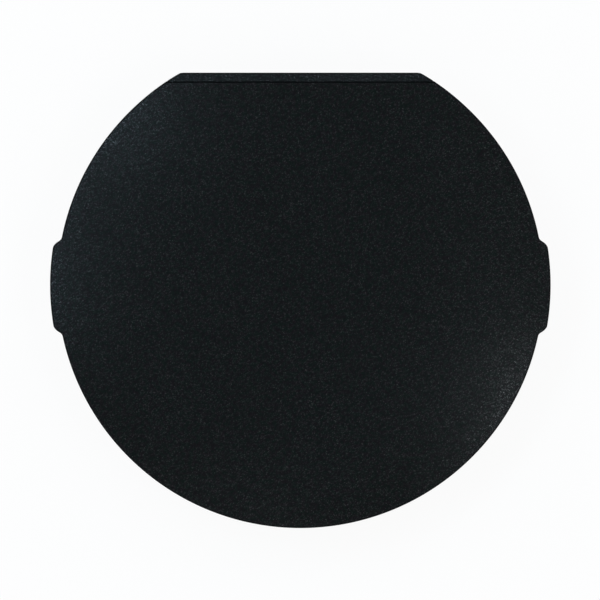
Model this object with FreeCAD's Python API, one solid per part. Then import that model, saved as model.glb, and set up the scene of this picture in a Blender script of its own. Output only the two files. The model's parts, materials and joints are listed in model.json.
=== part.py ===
import FreeCAD, Part

import math
import os

V = FreeCAD.Vector

# Electric crepe maker, in millimetres. The shapes are drawn about the disc's own upright axis, with the
# table at z = 0, the front at -Y and the straight rear edge at +Y. to_frame() then moves them so that the
# origin is the middle of the footprint.

# Cooking plate, outline as seen from above
PLATE_RADIUS = 165.0
REAR_CUT = 21.0              # how far the straight rear edge cuts into the circle
REAR_CORNER = 8.0            # rounding where the straight edge meets the circle
LUG_REACH = 4.8              # how far a side lug stands out of the circle
LUG_ROOT_ANGLE = 11.2        # half of a lug's angle at the circle
LUG_TIP_ANGLE = 9.7          # half of a lug's angle at its outer edge
LUG_SET_FORWARD = 1.3        # the lugs sit this far in front of the disc axis
LUG_INNER_SHARE = 0.8        # how far in a lug's shape starts, as a share of the plate's radius
LUG_TIP_ROUND = 6.0
LUG_ROOT_ROUND = 3.5
PLATE_THICKNESS = 6.0
PLATE_EDGE_ROUND = 1.2
GROOVE_TO_EDGE = 6.6         # groove centre to the straight rear edge
GROOVE_WIDTH = 1.0
GROOVE_DEPTH = 0.8
STRIP_FALL = 0.4             # the strip behind the groove slopes down by this much
RIM_INSET = 12.0             # plate edge to the rim under it
RIM_WIDTH = 3.0
RIM_DEPTH = 5.0
RIB_WIDTH = 3.0
RIB_DEPTH = 3.5
RIB_NOTCH = 3.0              # gap in the rib round the element's hairpin

# Housing, from the table up
FOOT_DROP = 6.0
TRAY_FLOOR = 2.5
TRAY_SIDE = 14.0
TRAY_WALL = 2.5
TRAY_UNDER_ROUND = 8.0
SPIGOT_HEIGHT = 6.0
SPIGOT_WALL = 1.5
DRUM_INSET = 20.0            # plate edge to the drum's outer face
DRUM_SHEET = 0.8
DRUM_HEIGHT = 38.0
RING_SKIRT_WALL = 1.8
RING_SKIRT_DROP = 5.0
RING_WEB = 2.0
RING_EDGE_ROUND = 1.2
PAD_HEIGHT = 10.0
PAD_RADIUS = 5.0
PAD_INSET = 9.0              # ring's outer edge to a pad's middle
PAD_SPIGOT_RADIUS = 2.5
PAD_ANGLES = (20.0, 160.0, -125.0, -55.0)
SLIP = 0.2                   # gap between a part and the part that it slips into
OVER = 1.0                   # how far a cutter runs past a face, and a boss into what it grows from
CLOSE = 0.01                 # edges are looked for this near to where they are expected
EXACT = 1e-6                 # faces at one height differ by less
SEAT_GAP = 0.1               # plate over its rest pads
VENT_WIDTH = 3.0
VENT_HEIGHT = 16.0
VENT_STEP = 4.5              # degrees between two vents in the drum
VENT_COUNT = 7               # vents on each side
FLOOR_VENT_LENGTH = 26.0
FLOOR_VENT_RADIUS = 66.0     # disc axis to a floor vent's middle
FLOOR_VENT_COUNT = 10

# Fasteners, all pan heads
SCREW_RADIUS = 1.9
SCREW_HEAD_RADIUS = 3.5
SCREW_HEAD_HEIGHT = 2.2
SCREW_LENGTH = 12.0
SMALL_SCREW_RADIUS = 1.4
SMALL_HEAD_RADIUS = 2.7
SMALL_HEAD_HEIGHT = 1.7
HOLE_SLACK = 0.3             # clearance hole over its screw
THREAD_SLACK = 0.05          # modelled thread hole over its screw
DRIVE_WIDTH = 0.9            # cross recess in a screw head
DRIVE_DEPTH = 0.8
DRIVE_REACH = 0.62           # share of the head's radius that the recess reaches
TOWER_RADIUS = 4.5
TOWER_ANGLES = (45.0, 135.0, -145.0, -35.0)

# Feet
FOOT_RADIUS = 12.0
FOOT_TOE_RADIUS = 10.0
FOOT_INSET = 40.0            # drum's outer face to a foot's middle
FOOT_ANGLES = {"rear_right": 45.0, "rear_left": 135.0, "front_left": -135.0, "front_right": -45.0}
FOOT_SCREW_RECESS = 3.0
FOOT_SCREW_LENGTH = 10.0
FOOT_BOSS_HEIGHT = 8.0

# Hinge at the straight edge
ROD_RADIUS = 3.0
HINGE_FROM_EDGE = 8.0        # straight rear edge to the rod's axis
HINGE_DROP = 8.6             # plate underside to the rod's axis
ROD_RUN = 0.05               # radial play of the rod in its brackets
HOOK_RUN = 0.15              # radial play of the plate's hooks on the rod
HOOK_WIDTH = 8.0
HOOK_SIDE_GAP = 0.8
HOOK_HALF_DEPTH = 6.0
HOOK_TIP = 5.2               # rod axis to the open end of a hook
BRACKET_X = 56.0
EAR_WIDTH = 6.0
KNUCKLE_RADIUS = 6.0
BRACKET_FOOT_WIDTH = 20.0
BRACKET_FOOT_HEIGHT = 14.0
BRACKET_SHEET = 2.5
BRACKET_SCREW_SPREAD = 6.5   # ear middle to each bracket screw
BRACKET_SCREW_PAST = 1.0     # screw past the strip inside
ROD_OVERHANG = 3.5
CLIP_GROOVE_RADIUS = 2.3
CLIP_THICKNESS = 0.8
CLIP_RADIUS = 4.6
CLIP_MOUTH_SHARE = 0.8       # half of the clip's mouth, as a share of its inner radius
BACKING_SHEET = 2.0
BACKING_HEIGHT = 7.5

# Heater
ELEMENT_RADIUS = 3.25
ELEMENT_GAP = 0.4            # element under the plate
LOOP_INSET = 67.0            # plate edge to the outer loop
LOOP_SPACING = 38.0          # outer loop to the inner one
LEG_ANGLE = 150.0            # where both loops turn down
HAIRPIN_ANGLE = 180.0        # where the outer loop turns back into the inner one
LEG_BEND_RADIUS = 10.0
LEG_BELOW = 12.0             # reflector to the sheath's lower ends
PIN_RADIUS = 1.2
PIN_LENGTH = 6.0
REFLECTOR_SHEET = 0.8
REFLECTOR_PAD_GAP = 3.0      # flange to the rest pads
REFLECTOR_REAR_CUT = 23.0    # straight rear edge to the flange's own straight edge
REFLECTOR_RIM_GAP = 2.0      # dish wall inside the ring's hole
REFLECTOR_DEPTH = 10.0
REFLECTOR_SLOPE = 7.0
REFLECTOR_SPARE = 2.0        # loop brackets to the foot of the slope
BUSH_RADIUS = 5.0
BUSH_COLLAR = 6.5
BUSH_BORE_GAP = 0.15
BUSH_ABOVE = 2.2
BUSH_BELOW = 3.0
BRACKET_ANGLES = (-90.0, 0.0, 90.0)
LOOP_BRACKET_SHEET = 1.5
LOOP_BRACKET_FOOT = 9.0
LOOP_BRACKET_MARGIN = 7.0    # bracket past each loop's middle
LOOP_BRACKET_TOP = 1.0       # bracket top under the loops' middle
LOOP_NOTCH_GAP = 0.25
RIVET_RADIUS = 1.6
RIVET_HEAD_RADIUS = 2.6
RIVET_HEAD_HEIGHT = 1.0

# Spring-loaded temperature sensor at the disc axis
SENSOR_RADIUS = 10.0         # collar that the sleeve keeps in
SENSOR_CROWN_RADIUS = 9.0
SENSOR_COLLAR_HEIGHT = 2.5
SENSOR_WALL = 1.2
SENSOR_TOP = 1.5
SENSOR_GAP = 0.1             # sensor under the plate
SENSOR_RISE = 2.0            # how far the sensor rises when the plate is off
SLEEVE_GAP = 0.3
SLEEVE_WALL = 1.5
SLEEVE_LIP = 1.2
SLEEVE_ABOVE = 12.0          # sleeve over the reflector's floor
SLEEVE_BELOW = 6.0
SLEEVE_FLANGE_RADIUS = 18.0
SLEEVE_FLANGE = 1.2
SPRING_WIRE_RADIUS = 0.6
SPRING_COIL_RADIUS = 6.6
SPRING_TURNS = 6
SPRING_END_GAP = 0.1
SPRING_STEPS = 4             # pairs of arcs that draw one turn

# Control box on the front of the drum
CONTROL_HALF_WIDTH = 56.0
CONTROL_PROUD = 3.0          # drum's outer face to the panel's outer face
CONTROL_DROP = 8.0           # tray's shoulder to the box's bottom
CONTROL_RING_GAP = 1.0       # box under the ring
CONTROL_RISE = 12.0          # tray's shoulder to the middle of the controls
CONTROL_WALL = 2.5
CONTROL_CORNER = 10.0
CONTROL_EDGE_ROUND = 1.2
CONTROL_BOSS_INSET = 7.0     # box's end to a screw boss
CONTROL_BOSS_RADIUS = 3.4
CONTROL_SCREW_SPARE = 1.0    # screw tip to the bottom of its hole
WINDOW_INSET = 12.0          # box's end to the end of the opening in the drum behind it
WINDOW_SILL = 1.5
WINDOW_LINTEL = 1.0          # opening's top under the box's top

THERMOSTAT_HALF_WIDTH = 20.0
THERMOSTAT_HALF_HEIGHT = 10.0
THERMOSTAT_DEPTH = 26.0
THERMOSTAT_SCREW_X = 9.0
THERMOSTAT_SCREW_LENGTH = 10.0
THERMOSTAT_TAB_X = 12.0
THERMOSTAT_TAB_DROP = 4.0
BUSHING_RADIUS = 4.5
BUSHING_PROUD = 1.0
SHAFT_RADIUS = 3.0
SHAFT_RUN = 0.05
SHAFT_FLAT_HEIGHT = 2.2      # shaft axis to the flat that turns it with the knob
SHAFT_IN_BODY = 20.0
TAB_WIDTH = 4.8
TAB_SHEET = 0.8
TAB_LENGTH = 6.0
KNOB_RADIUS = 14.0
KNOB_GAP = 0.6
KNOB_DISC = 5.4
KNOB_GRIP_HEIGHT = 9.0
KNOB_GRIP_WIDTH = 8.0
KNOB_WALL = 1.6
KNOB_HUB_RADIUS = 6.5
KNOB_HUB_SET_BACK = 1.8
KNOB_HOLLOW = 3.4

SWITCH_INSET = 20.0          # box's left end to the switch's middle
SWITCH_HALF_WIDTH = 6.5
SWITCH_HALF_HEIGHT = 9.5
SWITCH_BEZEL = 1.2
SWITCH_BEZEL_SHEET = 1.5
SWITCH_WALL = 0.9
SWITCH_DEPTH = 18.0
SWITCH_CATCH = 0.8           # how far each snap catch stands out behind the panel
SWITCH_CATCH_LENGTH = 5.0
SWITCH_POCKET = 12.0
SWITCH_TAB_RISE = 4.0
ROCKER_TILT = 12.0
ROCKER_HALF_LENGTH = 7.4
ROCKER_CREST = 2.2           # pivot to the middle of the rocker's face
ROCKER_SINK = 0.6            # pivot behind the bezel's face
ROCKER_UNDER = 2.0           # pivot to the rocker's underside
ROCKER_TAPER = 0.88          # length of its underside, as a share of its face's
ROCKER_SIDE_GAP = 0.3
TRUNNION_RADIUS = 1.2
TRUNNION_LENGTH = 0.6
TRUNNION_GAP = 0.1           # trunnion's end to the bottom of its seat

LAMP_INSET = 26.0            # box's right end to the lamps
LAMP_RISE = 6.5              # middle of the controls to each lamp
LENS_RADIUS = 4.0
LENS_DOME = 1.6
LENS_ROUND_SHARE = 0.8       # rounding of the dome, as a share of its height
LENS_STEM = 8.0
LENS_SOCKET = 5.0            # depth of the lamp's seat in the stem
NEON_RADIUS = 2.3
NEON_LENGTH = 12.0

# Mains inlet at the middle of the rear
INLET_RISE = 12.0            # tray's shoulder to the inlet's middle
INLET_FLANGE_HALF_WIDTH = 25.0
INLET_FLANGE_HALF_HEIGHT = 11.25
INLET_FLANGE = 3.0
INLET_SCREW_X = 20.0
INLET_SCREW_PAST = 3.0       # screw past the drum's sheet
INLET_BODY_HALF_WIDTH = 13.7
INLET_BODY_HALF_HEIGHT = 9.8
INLET_BODY_DEPTH = 22.0
SOCKET_HALF_WIDTH = 12.2
SOCKET_HALF_HEIGHT = 8.3
SOCKET_DEPTH = 17.0
SOCKET_CORNER = 3.0
BLADE_SPREAD = 7.0
BLADE_OFFSET = 2.0
BLADE_WIDTH = 4.0
BLADE_SHEET = 2.0
BLADE_RECESS = 2.5           # blade ends behind the socket's mouth
BLADE_TAIL = 6.0

# Wiring
WIRE_RADIUS = 1.2
CAPILLARY_RADIUS = 0.8
TUCK = 0.45                  # share of the shorter run that a wire's bend takes up
FUSE_RADIUS = 2.2
FUSE_LENGTH = 14.0
FUSE_ANGLE = 117.2
FUSE_OUTWARD = 2.0           # middle between the loops to the fuse
STRAP_SHEET = 1.0
STRAP_WIDTH = 6.0
STUD_ANGLE = 69.0
STUD_INWARD = 4.3            # inner loop to the earth stud
STUD_LENGTH = 8.0
STRAP_SCREW_LENGTH = 6.0
ROUTE_PLAN_RATIO = 1 / 165   # the wires' points are typed for a plate radius of 165
ROUTE_RISE_RATIO = 1 / 50    # and for a reflector floor at a height of 50

# Heights and places that follow from the sizes above
REAR_FLAT = PLATE_RADIUS - REAR_CUT
TRAY_Z = FOOT_DROP
FLOOR_Z = TRAY_Z + TRAY_FLOOR
SHOULDER_Z = TRAY_Z + TRAY_SIDE
WEB_Z = SHOULDER_Z + DRUM_HEIGHT
WEB_TOP_Z = WEB_Z + RING_WEB
PLATE_Z = WEB_TOP_Z + PAD_HEIGHT + SEAT_GAP
PLATE_TOP_Z = PLATE_Z + PLATE_THICKNESS
ELEMENT_Z = PLATE_Z - ELEMENT_GAP - ELEMENT_RADIUS
DISH_Z = WEB_TOP_Z - REFLECTOR_DEPTH
DISH_TOP_Z = DISH_Z + REFLECTOR_SHEET
RING_INSET = DRUM_INSET - SLIP - RING_SKIRT_WALL
SPIGOT_INSET = DRUM_INSET + DRUM_SHEET + SLIP
DRUM_RADIUS = PLATE_RADIUS - DRUM_INSET
DRUM_FLAT = REAR_FLAT - DRUM_INSET
HINGE_Y = REAR_FLAT - HINGE_FROM_EDGE
HINGE_Z = PLATE_Z - HINGE_DROP
CONTROL_BOSS_X = CONTROL_HALF_WIDTH - CONTROL_BOSS_INSET
WINDOW_HALF_WIDTH = CONTROL_HALF_WIDTH - WINDOW_INSET
SWITCH_X = SWITCH_INSET - CONTROL_HALF_WIDTH
LAMP_X = CONTROL_HALF_WIDTH - LAMP_INSET
CONTROL_Z = SHOULDER_Z + CONTROL_RISE
CONTROL_LOW = SHOULDER_Z - CONTROL_DROP
CONTROL_HIGH = WEB_Z - RING_SKIRT_DROP - CONTROL_RING_GAP
CONTROL_FACE = DRUM_RADIUS + CONTROL_PROUD
LAMP_HEIGHTS = {"power_lens": CONTROL_Z + LAMP_RISE, "ready_lens": CONTROL_Z - LAMP_RISE}
INLET_HEIGHT = SHOULDER_Z + INLET_RISE
PANEL_BACK = CONTROL_FACE - CONTROL_WALL
THERMOSTAT_REAR = PANEL_BACK - SLIP - THERMOSTAT_DEPTH
SWITCH_REAR = CONTROL_FACE - SWITCH_DEPTH
OUTER_LOOP_RADIUS = PLATE_RADIUS - LOOP_INSET
INNER_LOOP_RADIUS = OUTER_LOOP_RADIUS - LOOP_SPACING
RIB_RADIUS = (OUTER_LOOP_RADIUS + INNER_LOOP_RADIUS) / 2
LEG_FOOT_Z = DISH_Z - LEG_BELOW
DISH_FLOOR_RADIUS = OUTER_LOOP_RADIUS + LOOP_BRACKET_MARGIN + REFLECTOR_SPARE
DISH_WALL_RADIUS = DISH_FLOOR_RADIUS + REFLECTOR_SLOPE
RING_HOLE_RADIUS = DISH_WALL_RADIUS + REFLECTOR_RIM_GAP
PAD_CIRCLE = PLATE_RADIUS - RING_INSET - PAD_INSET
REFLECTOR_FLANGE_RADIUS = PAD_CIRCLE - PAD_RADIUS - REFLECTOR_PAD_GAP
TOWER_CIRCLE = (RING_HOLE_RADIUS + REFLECTOR_FLANGE_RADIUS) / 2
FOOT_CIRCLE = DRUM_RADIUS - FOOT_INSET
SENSOR_TOP_Z = PLATE_Z - SENSOR_GAP
SLEEVE_RADIUS = SENSOR_RADIUS + SLEEVE_GAP
SLEEVE_Z = DISH_Z - SLEEVE_BELOW
FRAME_SHIFT = V(0, (PLATE_RADIUS - REAR_FLAT) / 2, 0)
X_AXIS, Y_AXIS, Z_AXIS = V(1, 0, 0), V(0, 1, 0), V(0, 0, 1)
SKEW = V(0.3, 0.5, 0.8)      # a direction that no screw points in
FAR = 2 * PLATE_RADIUS       # past every face of the object
NEAR = FAR / 4               # through one wall, but not as far as the one across from it


# Plain shapes

def polar(radius, degrees, z=0.0):
    """Point at that radius and angle about the disc axis."""
    turn = math.radians(degrees)
    return V(radius * math.cos(turn), radius * math.sin(turn), z)


def block(x0, x1, y0, y1, z0, z1):
    """Box between two corners."""
    return Part.makeBox(x1 - x0, y1 - y0, z1 - z0, V(x0, y0, z0))


def rod(radius, start, end):
    """Round bar from one point to another."""
    along = end - start
    return Part.makeCylinder(radius, along.Length, start, along)


def post(radius, x, y, z0, z1):
    """Upright round bar."""
    return rod(radius, V(x, y, z0), V(x, y, z1))


def prism(points, along):
    """Flat polygon pushed along a vector."""
    return Part.Face(Part.makePolygon(points + points[:1])).extrude(along)


def turned(profile):
    """Solid of revolution about the disc axis, from (radius, height) points."""
    points = [V(r, 0, z) for r, z in profile]
    return Part.Face(Part.makePolygon(points + points[:1])).revolve(V(0, 0, 0), Z_AXIS, 360)


def fused(shapes):
    """One solid from several that meet."""
    whole = shapes[0].fuse(shapes[1:]) if len(shapes) > 1 else shapes[0]
    return whole.removeSplitter()


def cut(shape, tools):
    """A shape less several others."""
    return shape.cut(Part.makeCompound(list(tools)))


def spun(shape, degrees):
    """A copy turned about the disc axis."""
    copy = shape.copy()
    copy.rotate(V(0, 0, 0), Z_AXIS, degrees)
    return copy


def screw(seat, into, radius=SCREW_RADIUS, head_radius=SCREW_HEAD_RADIUS, head=SCREW_HEAD_HEIGHT,
          length=SCREW_LENGTH):
    """Pan-head screw whose head bears on seat and whose shank goes along into."""
    into = V(into).normalize()
    shank = rod(radius, seat, seat + into * length)
    cap = rod(head_radius, seat - into * head, seat)
    cap = cap.makeFillet(head / 2, [edge_at(cap, seat - into * head)])
    side = into.cross(SKEW).normalize()
    recess = []
    for arm in (side, into.cross(side)):
        across = into.cross(arm) * (DRIVE_WIDTH / 2)
        reach = arm * (head_radius * DRIVE_REACH)
        top = seat - into * (head + OVER)
        corners = [top + reach + across, top - reach + across, top - reach - across, top + reach - across]
        recess.append(prism(corners, into * (1 + DRIVE_DEPTH)))
    return cut(shank.fuse(cap).removeSplitter(), recess)


def edge_at(shape, centre):
    """The round edge of a shape whose centre is nearest to a point."""
    rounds = [e for e in shape.Edges if hasattr(e.Curve, "Center")]
    return min(rounds, key=lambda e: (e.Curve.Center - centre).Length)


def small_screw(seat, into, length):
    """Screw of the smaller size."""
    return screw(seat, into, SMALL_SCREW_RADIUS, SMALL_HEAD_RADIUS, SMALL_HEAD_HEIGHT, length)


def outline(inset):
    """Closed line that follows the plate's circle and straight edge at a distance inside them."""
    radius, flat = PLATE_RADIUS - inset, REAR_FLAT - inset
    middle_x = math.sqrt((radius - REAR_CORNER) ** 2 - (flat - REAR_CORNER) ** 2)
    middle = V(middle_x, flat - REAR_CORNER, 0)
    lean = math.degrees(math.atan2(middle.y, middle.x))
    on_circle, on_flat = polar(radius, lean), V(middle_x, flat, 0)
    on_corner = middle + polar(REAR_CORNER, (lean + 90) / 2)

    def mirrored(p):
        return V(-p.x, p.y, p.z)

    edges = [
        Part.Arc(mirrored(on_circle), V(0, -radius, 0), on_circle),
        Part.Arc(on_circle, on_corner, on_flat),
        Part.LineSegment(on_flat, mirrored(on_flat)),
        Part.Arc(mirrored(on_flat), mirrored(on_corner), mirrored(on_circle)),
    ]
    return Part.Wire([e.toShape() for e in edges])


def slab(inset, z0, z1):
    """Flat solid of that outline."""
    face = Part.Face(outline(inset))
    face.translate(V(0, 0, z0))
    return face.extrude(V(0, 0, z1 - z0))


def band(inset, wall, z0, z1):
    """Upright wall of that outline."""
    return slab(inset, z0, z1).cut(slab(inset + wall, z0, z1))


# Cooking plate

def lug(side):
    """Side lug with sloped shoulders, reaching well inside the circle, and the places of its upright edges
    at the tip and at the root. Side is 1 on the right and -1 on the left."""
    set_angle = -math.degrees(math.asin(LUG_SET_FORWARD / PLATE_RADIUS))
    tip = PLATE_RADIUS + LUG_REACH
    inner = PLATE_RADIUS * LUG_INNER_SHARE

    def at(radius, degrees):
        p = polar(radius, set_angle + degrees)
        return V(side * p.x, p.y, 0)

    ends = [at(PLATE_RADIUS, -LUG_ROOT_ANGLE), at(tip, -LUG_TIP_ANGLE),
            at(tip, LUG_TIP_ANGLE), at(PLATE_RADIUS, LUG_ROOT_ANGLE)]
    edges = [
        Part.LineSegment(at(inner, 0), ends[0]),
        Part.LineSegment(ends[0], ends[1]),
        Part.Arc(ends[1], at(tip, 0), ends[2]),
        Part.LineSegment(ends[2], ends[3]),
        Part.LineSegment(ends[3], at(inner, 0)),
    ]
    face = Part.Face(Part.Wire([e.toShape() for e in edges]))
    face.translate(V(0, 0, PLATE_Z))
    return face.extrude(V(0, 0, PLATE_THICKNESS)), [ends[1], ends[2]], [ends[0], ends[3]]


def upright_edges(shape, places):
    """The upright edges of a shape that stand over the given points."""
    found = []
    for e in shape.Edges:
        a, b = e.Vertexes[0].Point, e.Vertexes[-1].Point
        upright = abs(a.x - b.x) + abs(a.y - b.y) < EXACT and abs(a.z - b.z) > PLATE_THICKNESS / 2
        if upright and any(math.hypot(a.x - p.x, a.y - p.y) < CLOSE for p in places):
            found.append(e)
    return found


def hook(side):
    """Open-bottomed hook under the plate that drops over the hinge rod."""
    outer = BRACKET_X - EAR_WIDTH / 2 - HOOK_SIDE_GAP
    x0, x1 = sorted((side * outer, side * (outer - HOOK_WIDTH)))
    body = block(x0, x1, HINGE_Y - HOOK_HALF_DEPTH, HINGE_Y + HOOK_HALF_DEPTH,
                 HINGE_Z - HOOK_TIP, PLATE_Z + OVER)
    slot = ROD_RADIUS + HOOK_RUN
    bore = rod(slot, V(x0 - OVER, HINGE_Y, HINGE_Z), V(x1 + OVER, HINGE_Y, HINGE_Z))
    mouth = block(x0 - OVER, x1 + OVER, HINGE_Y - slot, HINGE_Y + slot, HINGE_Z - HOOK_TIP - OVER, HINGE_Z)
    return body.cut(bore.fuse(mouth))


def cooking_plate():
    """Cast plate: round with a straight rear edge, two side lugs, a straight groove, and a rim, a rib and
    two hooks underneath."""
    plate = slab(0, PLATE_Z, PLATE_TOP_Z)
    tips, roots = [], []
    for side in (1, -1):
        shape, tip_ends, root_ends = lug(side)
        plate = plate.fuse(shape)
        tips += tip_ends
        roots += root_ends
    plate = plate.removeSplitter()
    plate = plate.makeFillet(LUG_TIP_ROUND, upright_edges(plate, tips))
    plate = plate.makeFillet(LUG_ROOT_ROUND, upright_edges(plate, roots))
    top_edges = [e for e in plate.Edges if abs(e.BoundBox.ZMin - PLATE_TOP_Z) < EXACT]
    plate = plate.makeFillet(PLATE_EDGE_ROUND, top_edges)
    groove_y = REAR_FLAT - GROOVE_TO_EDGE
    groove = block(-FAR, FAR, groove_y - GROOVE_WIDTH / 2, groove_y + GROOVE_WIDTH / 2,
                   PLATE_TOP_Z - GROOVE_DEPTH, PLATE_TOP_Z + OVER)
    low, behind = PLATE_TOP_Z - STRIP_FALL, REAR_FLAT + OVER
    slope = prism([V(-FAR, groove_y, PLATE_TOP_Z), V(-FAR, REAR_FLAT, low), V(-FAR, behind, low),
                   V(-FAR, behind, PLATE_TOP_Z + OVER), V(-FAR, groove_y, PLATE_TOP_Z + OVER)],
                  V(2 * FAR, 0, 0))
    plate = cut(plate, [groove, slope])
    rim = band(RIM_INSET, RIM_WIDTH, PLATE_Z - RIM_DEPTH, PLATE_Z)
    hinge_gap = BRACKET_X + BRACKET_FOOT_WIDTH / 2 + HOOK_SIDE_GAP
    rim = rim.cut(block(-hinge_gap, hinge_gap, 0, FAR, 0, FAR))
    rib = turned([(RIB_RADIUS - RIB_WIDTH / 2, PLATE_Z - RIB_DEPTH),
                  (RIB_RADIUS + RIB_WIDTH / 2, PLATE_Z - RIB_DEPTH),
                  (RIB_RADIUS + RIB_WIDTH / 2, PLATE_Z), (RIB_RADIUS - RIB_WIDTH / 2, PLATE_Z)])
    apex = hairpin_apex()
    rib = rib.cut(post(ELEMENT_RADIUS + RIB_NOTCH, apex.x, apex.y, 0, PLATE_Z))
    return fused([plate, rim, rib, hook(1), hook(-1)])


# Hinge

def hinge_rod():
    """Steel rod that turns in the brackets, with a groove for a retaining clip at each end."""
    half = BRACKET_X + EAR_WIDTH / 2 + ROD_OVERHANG
    bar = rod(ROD_RADIUS, V(-half, HINGE_Y, HINGE_Z), V(half, HINGE_Y, HINGE_Z))
    grooves = []
    for side in (-1, 1):
        start, end = clip_span(side)
        ring = rod(ROD_RADIUS + OVER, start, end).cut(rod(CLIP_GROOVE_RADIUS, start, end))
        grooves.append(ring)
    return cut(bar, grooves)


def clip_span(side):
    """The two ends, along the rod, of the retaining clip on one side."""
    near = BRACKET_X + EAR_WIDTH / 2 + SLIP
    return V(side * near, HINGE_Y, HINGE_Z), V(side * (near + CLIP_THICKNESS), HINGE_Y, HINGE_Z)


def rod_clips():
    """Two open retaining rings on the rod."""
    rings = []
    for side in (-1, 1):
        start, end = clip_span(side)
        ring = rod(CLIP_RADIUS, start, end).cut(rod(CLIP_GROOVE_RADIUS + THREAD_SLACK, start, end))
        half = CLIP_GROOVE_RADIUS * CLIP_MOUTH_SHARE
        mouth = block(min(start.x, end.x) - OVER, max(start.x, end.x) + OVER, HINGE_Y - half, HINGE_Y + half,
                      HINGE_Z - FAR, HINGE_Z)
        rings.append(ring.cut(mouth))
    return Part.makeCompound(rings)


def bracket_screw_seats():
    """Where the four hinge bracket screws bear on the brackets' feet."""
    y = DRUM_FLAT + BRACKET_SHEET
    z = backing_middle()
    return [V(side * BRACKET_X + step * BRACKET_SCREW_SPREAD, y, z) for side in (-1, 1) for step in (-1, 1)]


def backing_middle():
    """Height of the row of bracket screws."""
    return WEB_Z - RING_SKIRT_DROP - SLIP - BRACKET_FOOT_HEIGHT / 2


def hinge_bracket(side):
    """Steel bracket on the drum's flat back that carries one end of the rod."""
    top = WEB_Z - RING_SKIRT_DROP - SLIP
    low = top - BRACKET_FOOT_HEIGHT
    x = side * BRACKET_X
    back = DRUM_FLAT + BRACKET_SHEET
    foot = block(x - BRACKET_FOOT_WIDTH / 2, x + BRACKET_FOOT_WIDTH / 2, DRUM_FLAT, back, low, top)
    ear_x = x - EAR_WIDTH / 2
    arm = prism([V(ear_x, DRUM_FLAT, low), V(ear_x, DRUM_FLAT, top), V(ear_x, back, top),
                 V(ear_x, HINGE_Y - KNUCKLE_RADIUS, HINGE_Z), V(ear_x, HINGE_Y + KNUCKLE_RADIUS, HINGE_Z),
                 V(ear_x, back, low)], V(EAR_WIDTH, 0, 0))
    start, end = V(ear_x, HINGE_Y, HINGE_Z), V(ear_x + EAR_WIDTH, HINGE_Y, HINGE_Z)
    whole = fused([foot, arm, rod(KNUCKLE_RADIUS, start, end)])
    bore = rod(ROD_RADIUS + ROD_RUN, start - X_AXIS, end + X_AXIS)
    holes = [rod(SCREW_RADIUS + HOLE_SLACK, p - Y_AXIS * FAR, p + Y_AXIS * FAR)
             for p in bracket_screw_seats() if p.x * side > 0]
    return cut(whole, [bore] + holes)


def hinge_backing_plate():
    """Steel strip inside the drum that the bracket screws thread into."""
    half = BRACKET_X + BRACKET_FOOT_WIDTH / 2
    inner = DRUM_FLAT - DRUM_SHEET
    z = backing_middle()
    strip = block(-half, half, inner - BACKING_SHEET, inner, z - BACKING_HEIGHT / 2, z + BACKING_HEIGHT / 2)
    holes = [rod(SCREW_RADIUS + THREAD_SLACK, p - Y_AXIS * FAR, p) for p in bracket_screw_seats()]
    return cut(strip, holes + [inlet_body_block(SLIP)])


def bracket_screws():
    """Four screws through the brackets' feet and the drum into the strip."""
    length = BRACKET_SHEET + DRUM_SHEET + BACKING_SHEET + BRACKET_SCREW_PAST
    return Part.makeCompound([screw(p, V(0, -1, 0), length=length) for p in bracket_screw_seats()])


# Housing

def base_tray():
    """Moulded floor pan with a spigot for the drum, four screw towers, four foot bosses and floor vents."""
    pan = slab(DRUM_INSET, TRAY_Z, SHOULDER_Z)
    under = [e for e in pan.Edges if abs(e.BoundBox.ZMax - TRAY_Z) < EXACT]
    pan = pan.makeFillet(TRAY_UNDER_ROUND, under)
    hollow = slab(DRUM_INSET + TRAY_WALL, FLOOR_Z, SHOULDER_Z + OVER)
    inner_edges = [e for e in hollow.Edges if abs(e.BoundBox.ZMax - FLOOR_Z) < EXACT]
    hollow = hollow.makeFillet(TRAY_UNDER_ROUND - TRAY_WALL, inner_edges)
    pan = pan.cut(hollow)
    spigot = band(SPIGOT_INSET, SPIGOT_WALL, SHOULDER_Z - TRAY_WALL, SHOULDER_Z + SPIGOT_HEIGHT)
    notch_half = WINDOW_HALF_WIDTH + SLIP
    spigot = cut(spigot, [block(-notch_half, notch_half, -FAR, 0, SHOULDER_Z, FAR),
                          inlet_body_block(SLIP + SPIGOT_WALL)])
    parts = [pan, spigot]
    for angle in TOWER_ANGLES:
        p = polar(TOWER_CIRCLE, angle)
        parts.append(post(TOWER_RADIUS, p.x, p.y, FLOOR_Z - OVER, WEB_Z))
    for angle in FOOT_ANGLES.values():
        p = polar(FOOT_CIRCLE, angle)
        parts.append(post(TOWER_RADIUS, p.x, p.y, FLOOR_Z - OVER, FLOOR_Z + FOOT_BOSS_HEIGHT))
    whole = fused(parts)
    holes = []
    for seat in ring_screw_seats():
        bottom = seat.z - SCREW_LENGTH - OVER
        holes.append(post(SCREW_RADIUS + THREAD_SLACK, seat.x, seat.y, bottom, WEB_Z + OVER))
    for angle in FOOT_ANGLES.values():
        p = polar(FOOT_CIRCLE, angle)
        holes.append(post(SCREW_RADIUS + THREAD_SLACK, p.x, p.y, 0, foot_screw_top() + OVER))
    for n in range(FLOOR_VENT_COUNT):
        slot = block(FLOOR_VENT_RADIUS - FLOOR_VENT_LENGTH / 2, FLOOR_VENT_RADIUS + FLOOR_VENT_LENGTH / 2,
                     -VENT_WIDTH / 2, VENT_WIDTH / 2, 0, FLOOR_Z + OVER)
        holes.append(spun(slot, 360 * (n + 0.5) / FLOOR_VENT_COUNT))
    return cut(whole, holes)


def ring_screw_seats():
    """Where the four ring screws bear on the reflector's flange."""
    return [polar(TOWER_CIRCLE, angle, WEB_TOP_Z + REFLECTOR_SHEET) for angle in TOWER_ANGLES]


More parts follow.
